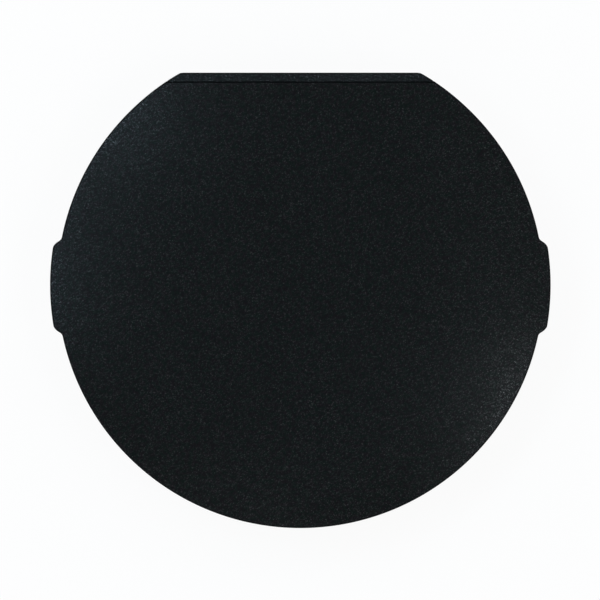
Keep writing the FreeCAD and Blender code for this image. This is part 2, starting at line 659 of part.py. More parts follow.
def foot_screw_top():
    """Upper end of a foot screw."""
    return FOOT_SCREW_RECESS + SCREW_HEAD_HEIGHT + FOOT_SCREW_LENGTH


def drum():
    """Rolled steel wall with the control window, the inlet opening, side vents and screw holes."""
    wall = band(DRUM_INSET, DRUM_SHEET, SHOULDER_Z, WEB_Z)
    tools = [block(-WINDOW_HALF_WIDTH, WINDOW_HALF_WIDTH, -FAR, 0,
                   SHOULDER_Z + WINDOW_SILL, CONTROL_HIGH - WINDOW_LINTEL)]
    tools.append(inlet_body_block(SLIP))
    for p in inlet_screw_seats():
        tools.append(rod(SMALL_SCREW_RADIUS + HOLE_SLACK, p, p - Y_AXIS * NEAR))
    for p in bracket_screw_seats():
        tools.append(rod(SCREW_RADIUS + HOLE_SLACK, p, p - Y_AXIS * NEAR))
    for p in control_screw_seats():
        tools.append(rod(SMALL_SCREW_RADIUS + HOLE_SLACK, p, p - Y_AXIS * NEAR))
    vent_z = (SHOULDER_Z + SPIGOT_HEIGHT + WEB_Z - RING_SKIRT_DROP) / 2
    for base in (0, 180):
        for n in range(VENT_COUNT):
            slot = block(DRUM_RADIUS - DRUM_SHEET - OVER, DRUM_RADIUS + OVER, -VENT_WIDTH / 2, VENT_WIDTH / 2,
                         vent_z - VENT_HEIGHT / 2, vent_z + VENT_HEIGHT / 2)
            tools.append(spun(slot, base + VENT_STEP * (n - (VENT_COUNT - 1) / 2)))
    return cut(wall, tools)


def top_ring():
    """Ring that caps the drum, with a hole for the reflector and seats for the rest pads."""
    body = slab(RING_INSET, WEB_Z - RING_SKIRT_DROP, WEB_TOP_Z)
    top_edges = [e for e in body.Edges if abs(e.BoundBox.ZMin - WEB_TOP_Z) < EXACT]
    body = body.makeFillet(RING_EDGE_ROUND, top_edges)
    tools = [slab(RING_INSET + RING_SKIRT_WALL, WEB_Z - RING_SKIRT_DROP - OVER, WEB_Z),
             post(RING_HOLE_RADIUS, 0, 0, WEB_Z - OVER, WEB_TOP_Z + OVER)]
    for p in ring_screw_seats():
        tools.append(post(SCREW_RADIUS + HOLE_SLACK, p.x, p.y, WEB_Z - OVER, WEB_TOP_Z + OVER))
    for angle in PAD_ANGLES:
        p = polar(PAD_CIRCLE, angle)
        tools.append(post(PAD_SPIGOT_RADIUS + THREAD_SLACK, p.x, p.y, WEB_Z - OVER, WEB_TOP_Z + OVER))
    return cut(body, tools)


def rest_pads():
    """Four heat-proof pads, pressed into the ring, that the plate rests on."""
    pads = []
    for angle in PAD_ANGLES:
        p = polar(PAD_CIRCLE, angle)
        head = post(PAD_RADIUS, p.x, p.y, WEB_TOP_Z, WEB_TOP_Z + PAD_HEIGHT)
        head = head.makeFillet(RING_EDGE_ROUND, [edge_at(head, V(p.x, p.y, WEB_TOP_Z + PAD_HEIGHT))])
        pads.append(head.fuse(post(PAD_SPIGOT_RADIUS, p.x, p.y, WEB_Z, WEB_TOP_Z)).removeSplitter())
    return Part.makeCompound(pads)


def ring_screws():
    """Four screws that hold the reflector and the ring down on the tray's towers."""
    return Part.makeCompound([screw(p, V(0, 0, -1)) for p in ring_screw_seats()])


def foot(angle):
    """Rubber foot with a sunk hole for its screw."""
    p = polar(FOOT_CIRCLE, angle)
    cone = Part.makeCone(FOOT_TOE_RADIUS, FOOT_RADIUS, FOOT_DROP, p)
    sunk = post(SCREW_HEAD_RADIUS + HOLE_SLACK, p.x, p.y, -OVER, FOOT_SCREW_RECESS + SCREW_HEAD_HEIGHT)
    return cut(cone, [sunk, post(SCREW_RADIUS + HOLE_SLACK, p.x, p.y, -OVER, FOOT_DROP + OVER)])


def foot_screws():
    """One screw up through each foot into its boss."""
    screws = []
    for angle in FOOT_ANGLES.values():
        seat = polar(FOOT_CIRCLE, angle, FOOT_SCREW_RECESS + SCREW_HEAD_HEIGHT)
        screws.append(screw(seat, Z_AXIS, length=FOOT_SCREW_LENGTH))
    return Part.makeCompound(screws)


# Heater

def element_path():
    """Tangent arcs of the heating element: up from one leg, round the outer loop, back through the hairpin,
    round the inner loop and down the other leg."""
    sweep = 360 - abs(HAIRPIN_ANGLE - LEG_ANGLE)
    leg = math.radians(LEG_ANGLE)
    onward = V(math.sin(leg), -math.cos(leg), 0)
    outer_start = polar(OUTER_LOOP_RADIUS, LEG_ANGLE, ELEMENT_Z)
    inner_end = polar(INNER_LOOP_RADIUS, LEG_ANGLE, ELEMENT_Z)
    outer_end = polar(OUTER_LOOP_RADIUS, HAIRPIN_ANGLE, ELEMENT_Z)
    inner_start = polar(INNER_LOOP_RADIUS, HAIRPIN_ANGLE, ELEMENT_Z)
    corner = LEG_BEND_RADIUS * (1 - math.sqrt(0.5))
    legs = []
    for foot_point, joint in ((leg_foot(0), outer_start), (leg_foot(1), inner_end)):
        knee = V(foot_point.x, foot_point.y, ELEMENT_Z - LEG_BEND_RADIUS)
        middle = V(foot_point.x, foot_point.y, ELEMENT_Z) + onward * corner - Z_AXIS * corner
        legs.append([Part.LineSegment(foot_point, knee), Part.Arc(knee, middle, joint)])
    outer = Part.Arc(outer_start, polar(OUTER_LOOP_RADIUS, LEG_ANGLE - sweep / 2, ELEMENT_Z), outer_end)
    hairpin = Part.Arc(outer_end, hairpin_apex(), inner_start)
    inner = Part.Arc(inner_start, polar(INNER_LOOP_RADIUS, HAIRPIN_ANGLE + sweep / 2, ELEMENT_Z), inner_end)
    return legs[0] + [outer, hairpin, inner] + legs[1][::-1]


def hairpin_apex():
    """The hairpin's furthest point from the radius where it starts and ends."""
    turn = math.radians(HAIRPIN_ANGLE)
    past = V(math.sin(turn), -math.cos(turn), 0) * ((OUTER_LOOP_RADIUS - INNER_LOOP_RADIUS) / 2)
    return polar(RIB_RADIUS, HAIRPIN_ANGLE, ELEMENT_Z) + past


def leg_foot(which):
    """Lower end of the sheath: 0 under the outer loop, 1 under the inner loop."""
    leg = math.radians(LEG_ANGLE)
    onward = V(math.sin(leg), -math.cos(leg), 0)
    p = polar((OUTER_LOOP_RADIUS, INNER_LOOP_RADIUS)[which], LEG_ANGLE, LEG_FOOT_Z)
    return p - onward * LEG_BEND_RADIUS


def pipe(edges, radius):
    """Round tube along tangent edges."""
    wire = Part.Wire(Part.__sortEdges__([e.toShape() for e in edges]))
    start = edges[0].StartPoint
    along = edges[0].EndPoint - start
    section = Part.Wire([Part.Circle(start, along, radius).toShape()])
    return wire.makePipeShell([section], True, False)


def heating_element():
    """Sheathed element in two loops joined by a hairpin, with both ends turned down."""
    return pipe(element_path(), ELEMENT_RADIUS)


def element_pins():
    """The two cold pins that stand out of the sheath's ends."""
    pins = []
    for which in (0, 1):
        p = leg_foot(which)
        pins.append(post(PIN_RADIUS, p.x, p.y, LEG_FOOT_Z - PIN_LENGTH, LEG_FOOT_Z))
    return Part.makeCompound(pins)


def element_bushes():
    """Ceramic bushes where the legs pass through the reflector."""
    bushes = []
    for which in (0, 1):
        p = leg_foot(which)
        low, high = DISH_Z - BUSH_BELOW, DISH_TOP_Z + BUSH_ABOVE
        body = post(BUSH_RADIUS, p.x, p.y, low, DISH_TOP_Z)
        collar = post(BUSH_COLLAR, p.x, p.y, DISH_TOP_Z, high)
        bore = post(ELEMENT_RADIUS + BUSH_BORE_GAP, p.x, p.y, low - OVER, high + OVER)
        bushes.append(body.fuse(collar).removeSplitter().cut(bore))
    return Part.makeCompound(bushes)


def reflector():
    """Pressed dish under the element, with its flange on the ring."""
    wall, floor = DISH_WALL_RADIUS, DISH_FLOOR_RADIUS
    hole = SLEEVE_RADIUS + SLEEVE_WALL + SLIP
    dish = turned([(hole, DISH_Z), (floor, DISH_Z), (wall, WEB_TOP_Z), (REFLECTOR_FLANGE_RADIUS, WEB_TOP_Z),
                   (REFLECTOR_FLANGE_RADIUS, WEB_TOP_Z + REFLECTOR_SHEET),
                   (wall - REFLECTOR_SHEET / 2, WEB_TOP_Z + REFLECTOR_SHEET),
                   (floor - REFLECTOR_SHEET / 2, DISH_TOP_Z), (hole, DISH_TOP_Z)])
    tools = [block(-FAR, FAR, REAR_FLAT - REFLECTOR_REAR_CUT, FAR, 0, FAR)]
    for p in ring_screw_seats():
        tools.append(post(SCREW_RADIUS + HOLE_SLACK, p.x, p.y, WEB_Z, WEB_TOP_Z + REFLECTOR_SHEET + OVER))
    for which in (0, 1):
        p = leg_foot(which)
        tools.append(post(BUSH_RADIUS + SLIP, p.x, p.y, DISH_Z - OVER, DISH_TOP_Z + OVER))
    for p in rivet_places() + sleeve_rivet_places():
        tools.append(post(RIVET_RADIUS + THREAD_SLACK, p.x, p.y, DISH_Z - OVER, DISH_TOP_Z + OVER))
    for p in (fuse_screw_place(), stud_place()):
        tools.append(post(SMALL_SCREW_RADIUS + HOLE_SLACK, p.x, p.y, DISH_Z - OVER, DISH_TOP_Z + OVER))
    return cut(dish, tools)


def loop_bracket_ends():
    """Inner and outer radius of the brackets that carry the loops."""
    return INNER_LOOP_RADIUS - LOOP_BRACKET_MARGIN, OUTER_LOOP_RADIUS + LOOP_BRACKET_MARGIN


def rivet_places():
    """Middle of each rivet through a loop bracket's foot."""
    start, end = loop_bracket_ends()
    inset = LOOP_BRACKET_FOOT / 2
    return [spun_point(V(r, offset, 0), angle) for angle in BRACKET_ANGLES
            for r, offset in ((start + inset, inset), (end - inset, inset))]


def spun_point(p, degrees):
    """A point turned about the disc axis."""
    q = polar(math.hypot(p.x, p.y), math.degrees(math.atan2(p.y, p.x)) + degrees)
    return V(q.x, q.y, p.z)


def loop_bracket(angle):
    """Steel angle strip standing on the reflector, notched for both loops."""
    start, end = loop_bracket_ends()
    half = LOOP_BRACKET_SHEET / 2
    upright = block(start, end, -half, half, DISH_TOP_Z, ELEMENT_Z - LOOP_BRACKET_TOP)
    foot_plate = block(start, end, -half, LOOP_BRACKET_FOOT, DISH_TOP_Z, DISH_TOP_Z + LOOP_BRACKET_SHEET)
    tools = []
    side = half + OVER
    for radius in (INNER_LOOP_RADIUS, OUTER_LOOP_RADIUS):
        notch = rod(ELEMENT_RADIUS + LOOP_NOTCH_GAP, V(radius, -side, ELEMENT_Z), V(radius, side, ELEMENT_Z))
        tools.append(notch)
    strip = cut(fused([upright, foot_plate]), tools)
    strip = spun(strip, angle)
    holes = [post(RIVET_RADIUS + THREAD_SLACK, p.x, p.y, 0, FAR) for p in rivet_places()]
    return cut(strip, holes)


def rivet(p, low, high):
    """Rivet with a head at each end."""
    heads = [post(RIVET_HEAD_RADIUS, p.x, p.y, low - RIVET_HEAD_HEIGHT, low),
             post(RIVET_HEAD_RADIUS, p.x, p.y, high, high + RIVET_HEAD_HEIGHT)]
    return fused([post(RIVET_RADIUS, p.x, p.y, low, high)] + heads)


def loop_bracket_rivets():
    """Two rivets through each loop bracket's foot."""
    return Part.makeCompound([rivet(p, DISH_Z, DISH_TOP_Z + LOOP_BRACKET_SHEET) for p in rivet_places()])


# Temperature sensor

def sleeve_rivet_places():
    """Two rivets through the sensor sleeve's flange."""
    radius = (SLEEVE_RADIUS + SLEEVE_WALL + SLEEVE_FLANGE_RADIUS) / 2
    return [polar(radius, 45), polar(radius, 225)]


def sensor_sleeve():
    """Fixed cup that guides the sensor, with a lip that keeps it in, a flange on the reflector and a port
    for the capillary."""
    outer = SLEEVE_RADIUS + SLEEVE_WALL
    mouth = SENSOR_CROWN_RADIUS + SLEEVE_GAP
    top = DISH_TOP_Z + SLEEVE_ABOVE
    cup = turned([(0, SLEEVE_Z), (outer, SLEEVE_Z), (outer, top), (mouth, top), (mouth, top - SLEEVE_LIP),
                  (SLEEVE_RADIUS, top - SLEEVE_LIP), (SLEEVE_RADIUS, SLEEVE_Z + SLEEVE_FLANGE),
                  (0, SLEEVE_Z + SLEEVE_FLANGE)])
    flange = turned([(SLEEVE_RADIUS + SLEEVE_WALL / 2, DISH_TOP_Z), (SLEEVE_FLANGE_RADIUS, DISH_TOP_Z),
                     (SLEEVE_FLANGE_RADIUS, DISH_TOP_Z + SLEEVE_FLANGE),
                     (SLEEVE_RADIUS + SLEEVE_WALL / 2, DISH_TOP_Z + SLEEVE_FLANGE)])
    holes = [post(RIVET_RADIUS + THREAD_SLACK, p.x, p.y, 0, FAR) for p in sleeve_rivet_places()]
    outside, inside = capillary_route()[-2:]
    holes.append(rod(CAPILLARY_RADIUS + SLIP, outside, inside + Y_AXIS))
    return cut(fused([cup, flange]), holes)


def sleeve_rivets():
    """The two rivets that hold the sensor sleeve."""
    return Part.makeCompound([rivet(p, DISH_Z, DISH_TOP_Z + SLEEVE_FLANGE) for p in sleeve_rivet_places()])


def sensor_cap():
    """Cap that the spring presses against the plate's underside, with a collar under the sleeve's lip."""
    high = DISH_TOP_Z + SLEEVE_ABOVE - SLEEVE_LIP - SENSOR_RISE
    low = high - SENSOR_COLLAR_HEIGHT
    crown = post(SENSOR_CROWN_RADIUS, 0, 0, low, SENSOR_TOP_Z)
    crown = crown.makeFillet(SENSOR_TOP / 2, [edge_at(crown, V(0, 0, SENSOR_TOP_Z))])
    body = fused([crown, post(SENSOR_RADIUS, 0, 0, low, high)])
    return body.cut(post(SENSOR_CROWN_RADIUS - SENSOR_WALL, 0, 0, low - OVER, SENSOR_TOP_Z - SENSOR_TOP))


def helix_point(share, low, high):
    """Point and direction on the spring's middle line, share running from 0 to 1."""
    turn = 2 * math.pi * SPRING_TURNS * share
    point = V(SPRING_COIL_RADIUS * math.cos(turn), SPRING_COIL_RADIUS * math.sin(turn),
              low + (high - low) * share)
    rise = (high - low) / (2 * math.pi * SPRING_TURNS)
    way = V(-SPRING_COIL_RADIUS * math.sin(turn), SPRING_COIL_RADIUS * math.cos(turn), rise).normalize()
    return point, way


def biarc(p0, t0, p1, t1):
    """Two arcs that leave p0 along t0, meet smoothly and reach p1 along t1."""
    gap = p1 - p0
    both = t0 + t1
    a = 2 * (1 - t0.dot(t1))
    b = 2 * gap.dot(both)
    reach = (-b + math.sqrt(b * b + 4 * a * gap.dot(gap))) / (2 * a)
    join = (p0 + p1) * 0.5 + (t0 - t1) * (reach / 2)
    arcs = []
    for start, way, end in ((p0, t0, join), (p1, t1 * -1, join)):
        chord = end - start
        half = math.acos(max(-1, min(1, way.dot(chord) / chord.Length))) / 2
        sagitta = chord.Length / 2 * math.tan(half)
        away = (way - chord * (way.dot(chord) / chord.dot(chord))).normalize()
        arcs.append(Part.Arc(start, (start + end) * 0.5 + away * sagitta, end))
    return [arcs[0], Part.Arc(join, arcs[1].value(arc_middle(arcs[1])), p1)]


def arc_middle(arc):
    """Parameter half-way along an arc."""
    return (arc.FirstParameter + arc.LastParameter) / 2


def sensor_spring():
    """Coil spring under the sensor cap."""
    low = SLEEVE_Z + SLEEVE_FLANGE + SPRING_WIRE_RADIUS + SPRING_END_GAP
    high = SENSOR_TOP_Z - SENSOR_TOP - SPRING_WIRE_RADIUS - SPRING_END_GAP
    steps = SPRING_TURNS * SPRING_STEPS
    edges = []
    for n in range(steps):
        p0, t0 = helix_point(n / steps, low, high)
        p1, t1 = helix_point((n + 1) / steps, low, high)
        edges += biarc(p0, t0, p1, t1)
    least = (high - low) / SPRING_TURNS - 2 * SPRING_WIRE_RADIUS
    print(f"sensor_spring: least gap between turns {least:.2f} mm")
    wire = Part.Wire([e.toShape() for e in edges])
    section = Part.Wire([Part.Circle(*helix_point(0, low, high), SPRING_WIRE_RADIUS).toShape()])
    return wire.makePipeShell([section], True, False)


# Controls

def control_screw_seats():
    """Where the two screws from inside the drum bear on its wall, just clear of its curve."""
    near = CONTROL_BOSS_X + SMALL_HEAD_RADIUS
    y = -math.sqrt((DRUM_RADIUS - DRUM_SHEET) ** 2 - near ** 2) + THREAD_SLACK
    return [V(side * CONTROL_BOSS_X, y, CONTROL_Z) for side in (-1, 1)]


def control_box():
    """Moulded box on the front of the drum for the knob, the switch and the lamps."""
    outer = block(-CONTROL_HALF_WIDTH, CONTROL_HALF_WIDTH, -CONTROL_FACE, 0, CONTROL_LOW, CONTROL_HIGH)
    corners = [V(side * CONTROL_HALF_WIDTH, -CONTROL_FACE, 0) for side in (-1, 1)]
    outer = outer.makeFillet(CONTROL_CORNER, upright_edges(outer, corners))
    front = [e for e in outer.Edges if abs(e.BoundBox.YMax + CONTROL_FACE) < EXACT
             and e.BoundBox.XLength > CONTROL_HALF_WIDTH]
    outer = outer.makeFillet(CONTROL_EDGE_ROUND, front)
    inner = block(-CONTROL_HALF_WIDTH + CONTROL_WALL, CONTROL_HALF_WIDTH - CONTROL_WALL, -PANEL_BACK, 1,
                  CONTROL_LOW + CONTROL_WALL, CONTROL_HIGH - CONTROL_WALL)
    corners = [V(side * (CONTROL_HALF_WIDTH - CONTROL_WALL), -PANEL_BACK, 0) for side in (-1, 1)]
    inner = inner.makeFillet(CONTROL_CORNER - CONTROL_WALL, upright_edges(inner, corners))
    shell = outer.cut(inner)
    bosses = [rod(CONTROL_BOSS_RADIUS, V(p.x, -CONTROL_FACE + CONTROL_WALL / 2, p.z), V(p.x, 0, p.z))
              for p in control_screw_seats()]
    whole = fused([shell] + bosses)
    tools = [post(DRUM_RADIUS + SLIP / 2, 0, 0, 0, FAR),
             rod(BUSHING_RADIUS + SLIP, V(0, -FAR, CONTROL_Z), V(0, 0, CONTROL_Z)),
             block(SWITCH_X - SWITCH_HALF_WIDTH - SLIP / 2, SWITCH_X + SWITCH_HALF_WIDTH + SLIP / 2, -FAR, 0,
                   CONTROL_Z - SWITCH_HALF_HEIGHT - SLIP / 2, CONTROL_Z + SWITCH_HALF_HEIGHT + SLIP / 2)]
    for side in (-1, 1):
        x = side * THERMOSTAT_SCREW_X
        tools.append(rod(SMALL_SCREW_RADIUS + HOLE_SLACK, V(x, -FAR, CONTROL_Z), V(x, 0, CONTROL_Z)))
    for z in LAMP_HEIGHTS.values():
        tools.append(rod(LENS_RADIUS - LENS_DOME / 2 + SLIP / 2, V(LAMP_X, -FAR, z), V(LAMP_X, 0, z)))
    for p in control_screw_seats():
        tools.append(rod(SMALL_SCREW_RADIUS + THREAD_SLACK, p, V(p.x, -PANEL_BACK, p.z)))
    return cut(whole, tools)


def control_screws():
    """Two screws from inside the drum into the control box's bosses."""
    return Part.makeCompound([small_screw(p, V(0, -1, 0), PANEL_BACK + p.y - CONTROL_SCREW_SPARE)
                              for p in control_screw_seats()])


def tab(x, y, z, upright=False):
    """Push-on terminal tab pointing to the rear."""
    half, thin = TAB_WIDTH / 2, TAB_SHEET / 2
    if upright:
        half, thin = thin, half
    return block(x - half, x + half, y, y + TAB_LENGTH, z - thin, z + thin)


def thermostat_body():
    """Capillary thermostat behind the panel, with its bushing through it."""
    face = -PANEL_BACK + SLIP
    body = block(-THERMOSTAT_HALF_WIDTH, THERMOSTAT_HALF_WIDTH, face, face + THERMOSTAT_DEPTH,
                 CONTROL_Z - THERMOSTAT_HALF_HEIGHT, CONTROL_Z + THERMOSTAT_HALF_HEIGHT)
    end = -CONTROL_FACE - BUSHING_PROUD
    bushing = rod(BUSHING_RADIUS, V(0, end, CONTROL_Z), V(0, face + OVER, CONTROL_Z))
    tools = [rod(SHAFT_RADIUS + SHAFT_RUN, V(0, end - OVER, CONTROL_Z), V(0, end + SHAFT_IN_BODY, CONTROL_Z))]
    for x in (-THERMOSTAT_SCREW_X, THERMOSTAT_SCREW_X):
        bottom = V(x, THERMOSTAT_SCREW_LENGTH - CONTROL_FACE + SLIP, CONTROL_Z)
        tools.append(rod(SMALL_SCREW_RADIUS + THREAD_SLACK, V(x, -FAR, CONTROL_Z), bottom))
    return cut(fused([body, bushing]), tools)


def thermostat_tabs():
    """The thermostat's two terminals."""
    return Part.makeCompound([tab(side * THERMOSTAT_TAB_X, -THERMOSTAT_REAR, CONTROL_Z - THERMOSTAT_TAB_DROP)
                              for side in (-1, 1)])


def thermostat_screws():
    """Two screws through the panel, hidden by the knob, that hold the thermostat."""
    return Part.makeCompound([small_screw(V(x, -CONTROL_FACE, CONTROL_Z), Y_AXIS, THERMOSTAT_SCREW_LENGTH)
                              for x in (-THERMOSTAT_SCREW_X, THERMOSTAT_SCREW_X)])


def knob_back():
    """Depth of the knob's rear face from the disc axis."""
    return CONTROL_FACE + KNOB_GAP


def flatted_bar(radius, flat, start, end):
    """Round bar along Y with a flat over its part in the knob, from start to its front end."""
    bar = rod(radius, V(0, start, CONTROL_Z), V(0, end, CONTROL_Z))
    hub_end = -knob_back() - KNOB_HUB_SET_BACK
    return bar.cut(block(-FAR, FAR, end - OVER, hub_end, CONTROL_Z + flat, CONTROL_Z + FAR))


def shaft_tip():
    """Depth of the shaft's front end, inside the knob's grip."""
    return -knob_back() - KNOB_DISC - KNOB_GRIP_HEIGHT / 2


def thermostat_shaft():
    """Shaft that the knob turns, with a flat."""
    start = -CONTROL_FACE - BUSHING_PROUD + SHAFT_IN_BODY - SLIP
    return flatted_bar(SHAFT_RADIUS, SHAFT_FLAT_HEIGHT, start, shaft_tip())


def knob():
    """Round knob with a bar grip, hollow at the back round its hub."""
    back = -knob_back()
    front = back - KNOB_DISC
    disc = rod(KNOB_RADIUS, V(0, back, CONTROL_Z), V(0, front, CONTROL_Z))
    disc = disc.makeFillet(CONTROL_EDGE_ROUND, [edge_at(disc, V(0, front, CONTROL_Z))])
    grip = block(-KNOB_GRIP_WIDTH / 2, KNOB_GRIP_WIDTH / 2, front - KNOB_GRIP_HEIGHT, front + OVER,
                 CONTROL_Z - KNOB_RADIUS, CONTROL_Z + KNOB_RADIUS)
    limit = rod(KNOB_RADIUS - CONTROL_EDGE_ROUND, V(0, -FAR, CONTROL_Z), V(0, 0, CONTROL_Z))
    grip = grip.common(limit)
    top = [e for e in grip.Edges if abs(e.BoundBox.YMax - (front - KNOB_GRIP_HEIGHT)) < EXACT]
    grip = grip.makeFillet(CONTROL_EDGE_ROUND, top)
    hollow = rod(KNOB_RADIUS - KNOB_WALL, V(0, back + OVER, CONTROL_Z), V(0, back - KNOB_HOLLOW, CONTROL_Z))
    hub = rod(KNOB_HUB_RADIUS, V(0, back - KNOB_HUB_SET_BACK, CONTROL_Z), V(0, front, CONTROL_Z))
    body = fused([disc.cut(hollow), hub, grip])
    return body.cut(flatted_bar(SHAFT_RADIUS + SHAFT_RUN, SHAFT_FLAT_HEIGHT + SHAFT_RUN, back + OVER,
                                shaft_tip() - SLIP))


def rocker_pivot():
    """Middle of the rocker's turning axis."""
    return V(SWITCH_X, -CONTROL_FACE - SWITCH_BEZEL_SHEET + ROCKER_SINK + ROCKER_CREST, CONTROL_Z)


def switch_body():
    """Snap-in switch housing with a bezel and a pocket for the rocker."""
    low, high = CONTROL_Z - SWITCH_HALF_HEIGHT, CONTROL_Z + SWITCH_HALF_HEIGHT
    left, right = SWITCH_X - SWITCH_HALF_WIDTH, SWITCH_X + SWITCH_HALF_WIDTH
    front = -CONTROL_FACE - SWITCH_BEZEL_SHEET
    body = block(left, right, -CONTROL_FACE, -SWITCH_REAR, low, high)
    bezel = block(left - SWITCH_BEZEL, right + SWITCH_BEZEL, front, -CONTROL_FACE,
                  low - SWITCH_BEZEL, high + SWITCH_BEZEL)
    rim = [e for e in bezel.Edges if abs(e.BoundBox.YMax - front) < EXACT]
    bezel = bezel.makeFillet(SWITCH_BEZEL / 2, rim)
    pocket = block(left + SWITCH_WALL, right - SWITCH_WALL, front - OVER, front + SWITCH_POCKET,
                   low + SWITCH_WALL, high - SWITCH_WALL)
    near = -PANEL_BACK + THREAD_SLACK
    catches = []
    for side, z in ((-1, low), (1, high)):
        far = near + SWITCH_CATCH_LENGTH
        points = [V(left + OVER, near, z - side), V(left + OVER, near, z + side * SWITCH_CATCH),
                  V(left + OVER, far, z), V(left + OVER, far, z - side)]
        catches.append(prism(points, V(right - left - 2, 0, 0)))
    p = rocker_pivot()
    half = SWITCH_HALF_WIDTH - SWITCH_WALL + TRUNNION_LENGTH
    bore = rod(TRUNNION_RADIUS + THREAD_SLACK, V(p.x - half, p.y, p.z), V(p.x + half, p.y, p.z))
    return cut(fused([body, bezel] + catches), [pocket, bore])


def switch_rocker():
    """Rocker with two faces that meet at a shallow angle, tilted to its off side."""
    p = rocker_pivot()
    half = SWITCH_HALF_WIDTH - SWITCH_WALL - ROCKER_SIDE_GAP
    rise = ROCKER_HALF_LENGTH * math.tan(math.radians(ROCKER_TILT))
    skew = ROCKER_HALF_LENGTH * ROCKER_TAPER
    profile = [(ROCKER_CREST + rise, -ROCKER_HALF_LENGTH), (ROCKER_CREST, 0),
               (ROCKER_CREST + rise, ROCKER_HALF_LENGTH), (-ROCKER_UNDER, skew),
               (-ROCKER_UNDER, -skew)]
    points = [V(p.x - half, p.y - out, p.z + up) for out, up in profile]
    body = prism(points, V(2 * half, 0, 0))
    reach = half + ROCKER_SIDE_GAP + TRUNNION_LENGTH - TRUNNION_GAP
    pin = rod(TRUNNION_RADIUS, V(p.x - reach, p.y, p.z), V(p.x + reach, p.y, p.z))
    whole = fused([body, pin])
    whole.rotate(p, X_AXIS, -ROCKER_TILT)
    return whole


def switch_tabs():
    """The switch's two terminals."""
    return Part.makeCompound([tab(SWITCH_X, -SWITCH_REAR, CONTROL_Z + side * SWITCH_TAB_RISE)
                              for side in (-1, 1)])


def lens(z):
    """Domed lamp lens with a hollow stem through the panel."""
    stem_radius = LENS_RADIUS - LENS_DOME / 2
    crest = V(LAMP_X, -CONTROL_FACE - LENS_DOME, z)
    cap = rod(LENS_RADIUS, crest, V(LAMP_X, -CONTROL_FACE, z))
    cap = cap.makeFillet(LENS_DOME * LENS_ROUND_SHARE, [edge_at(cap, crest)])
    stem = rod(stem_radius, V(LAMP_X, -CONTROL_FACE, z), V(LAMP_X, -CONTROL_FACE + LENS_STEM, z))
    end = -CONTROL_FACE + LENS_STEM
    socket = rod(NEON_RADIUS + THREAD_SLACK, V(LAMP_X, end - LENS_SOCKET, z), V(LAMP_X, end + OVER, z))
    return fused([cap, stem]).cut(socket)


def neon_lamps():
    """The two glow lamps in the lenses' stems."""
    start = -CONTROL_FACE + LENS_STEM - LENS_SOCKET
    return Part.makeCompound([rod(NEON_RADIUS, V(LAMP_X, start, z), V(LAMP_X, start + NEON_LENGTH, z))
                              for z in LAMP_HEIGHTS.values()])


# Mains inlet

def inlet_body_block(gap):
    """The inlet's body, grown by a gap, as a cutter."""
    return block(-INLET_BODY_HALF_WIDTH - gap, INLET_BODY_HALF_WIDTH + gap, DRUM_FLAT - INLET_BODY_DEPTH, FAR,
                 INLET_HEIGHT - INLET_BODY_HALF_HEIGHT - gap, INLET_HEIGHT + INLET_BODY_HALF_HEIGHT + gap)


def inlet_screw_seats():
    """Where the two inlet screws bear on its flange."""
    return [V(side * INLET_SCREW_X, DRUM_FLAT + INLET_FLANGE, INLET_HEIGHT) for side in (-1, 1)]


def inlet_body():
    """Appliance inlet: flange outside the drum, body inside, socket with room for the connector."""
    flange = block(-INLET_FLANGE_HALF_WIDTH, INLET_FLANGE_HALF_WIDTH, DRUM_FLAT, DRUM_FLAT + INLET_FLANGE,
                   INLET_HEIGHT - INLET_FLANGE_HALF_HEIGHT, INLET_HEIGHT + INLET_FLANGE_HALF_HEIGHT)
    corners = [e for e in flange.Edges if abs(e.BoundBox.YLength - INLET_FLANGE) < EXACT]
    flange = flange.makeFillet(SOCKET_CORNER, corners)
    body = block(-INLET_BODY_HALF_WIDTH, INLET_BODY_HALF_WIDTH, DRUM_FLAT - INLET_BODY_DEPTH, DRUM_FLAT,
                 INLET_HEIGHT - INLET_BODY_HALF_HEIGHT, INLET_HEIGHT + INLET_BODY_HALF_HEIGHT)
    mouth = DRUM_FLAT + INLET_FLANGE
    socket = block(-SOCKET_HALF_WIDTH, SOCKET_HALF_WIDTH, mouth - SOCKET_DEPTH, mouth + OVER,
                   INLET_HEIGHT - SOCKET_HALF_HEIGHT, INLET_HEIGHT + SOCKET_HALF_HEIGHT)
    upper = [e for e in socket.Edges if e.BoundBox.YLength > SOCKET_DEPTH
             and e.BoundBox.ZMin > INLET_HEIGHT]
    socket = socket.makeFillet(SOCKET_CORNER, upper)
    tools = [socket]
    for p in inlet_screw_seats():
        tools.append(rod(SMALL_SCREW_RADIUS + HOLE_SLACK, p + Y_AXIS, p - Y_AXIS * NEAR))
    for x, z in blade_places():
        tools.append(blade(x, z, THREAD_SLACK))
    return cut(fused([flange, body]), tools)


def blade_places():
    """X and height of the live, neutral and earth blades."""
    return [(BLADE_SPREAD, INLET_HEIGHT - BLADE_OFFSET), (-BLADE_SPREAD, INLET_HEIGHT - BLADE_OFFSET),
            (0.0, INLET_HEIGHT + BLADE_OFFSET)]


def tail_end():
    """Depth of the blades' inner ends."""
    return DRUM_FLAT - INLET_BODY_DEPTH - BLADE_TAIL


def blade(x, z, gap=0.0):
    """Contact blade through the inlet's floor, with a solder tail."""
    half_sheet, half_width = BLADE_SHEET / 2 + gap, BLADE_WIDTH / 2 + gap
    return block(x - half_sheet, x + half_sheet, tail_end(), DRUM_FLAT + INLET_FLANGE - BLADE_RECESS,
                 z - half_width, z + half_width)


def inlet_blades():
    """The live, neutral and earth blades."""
    return Part.makeCompound([blade(x, z) for x, z in blade_places()])


def inlet_screws():
    """Two screws through the inlet's flange and the drum."""
    return Part.makeCompound([small_screw(p, V(0, -1, 0), INLET_FLANGE + DRUM_SHEET + INLET_SCREW_PAST)
                              for p in inlet_screw_seats()])


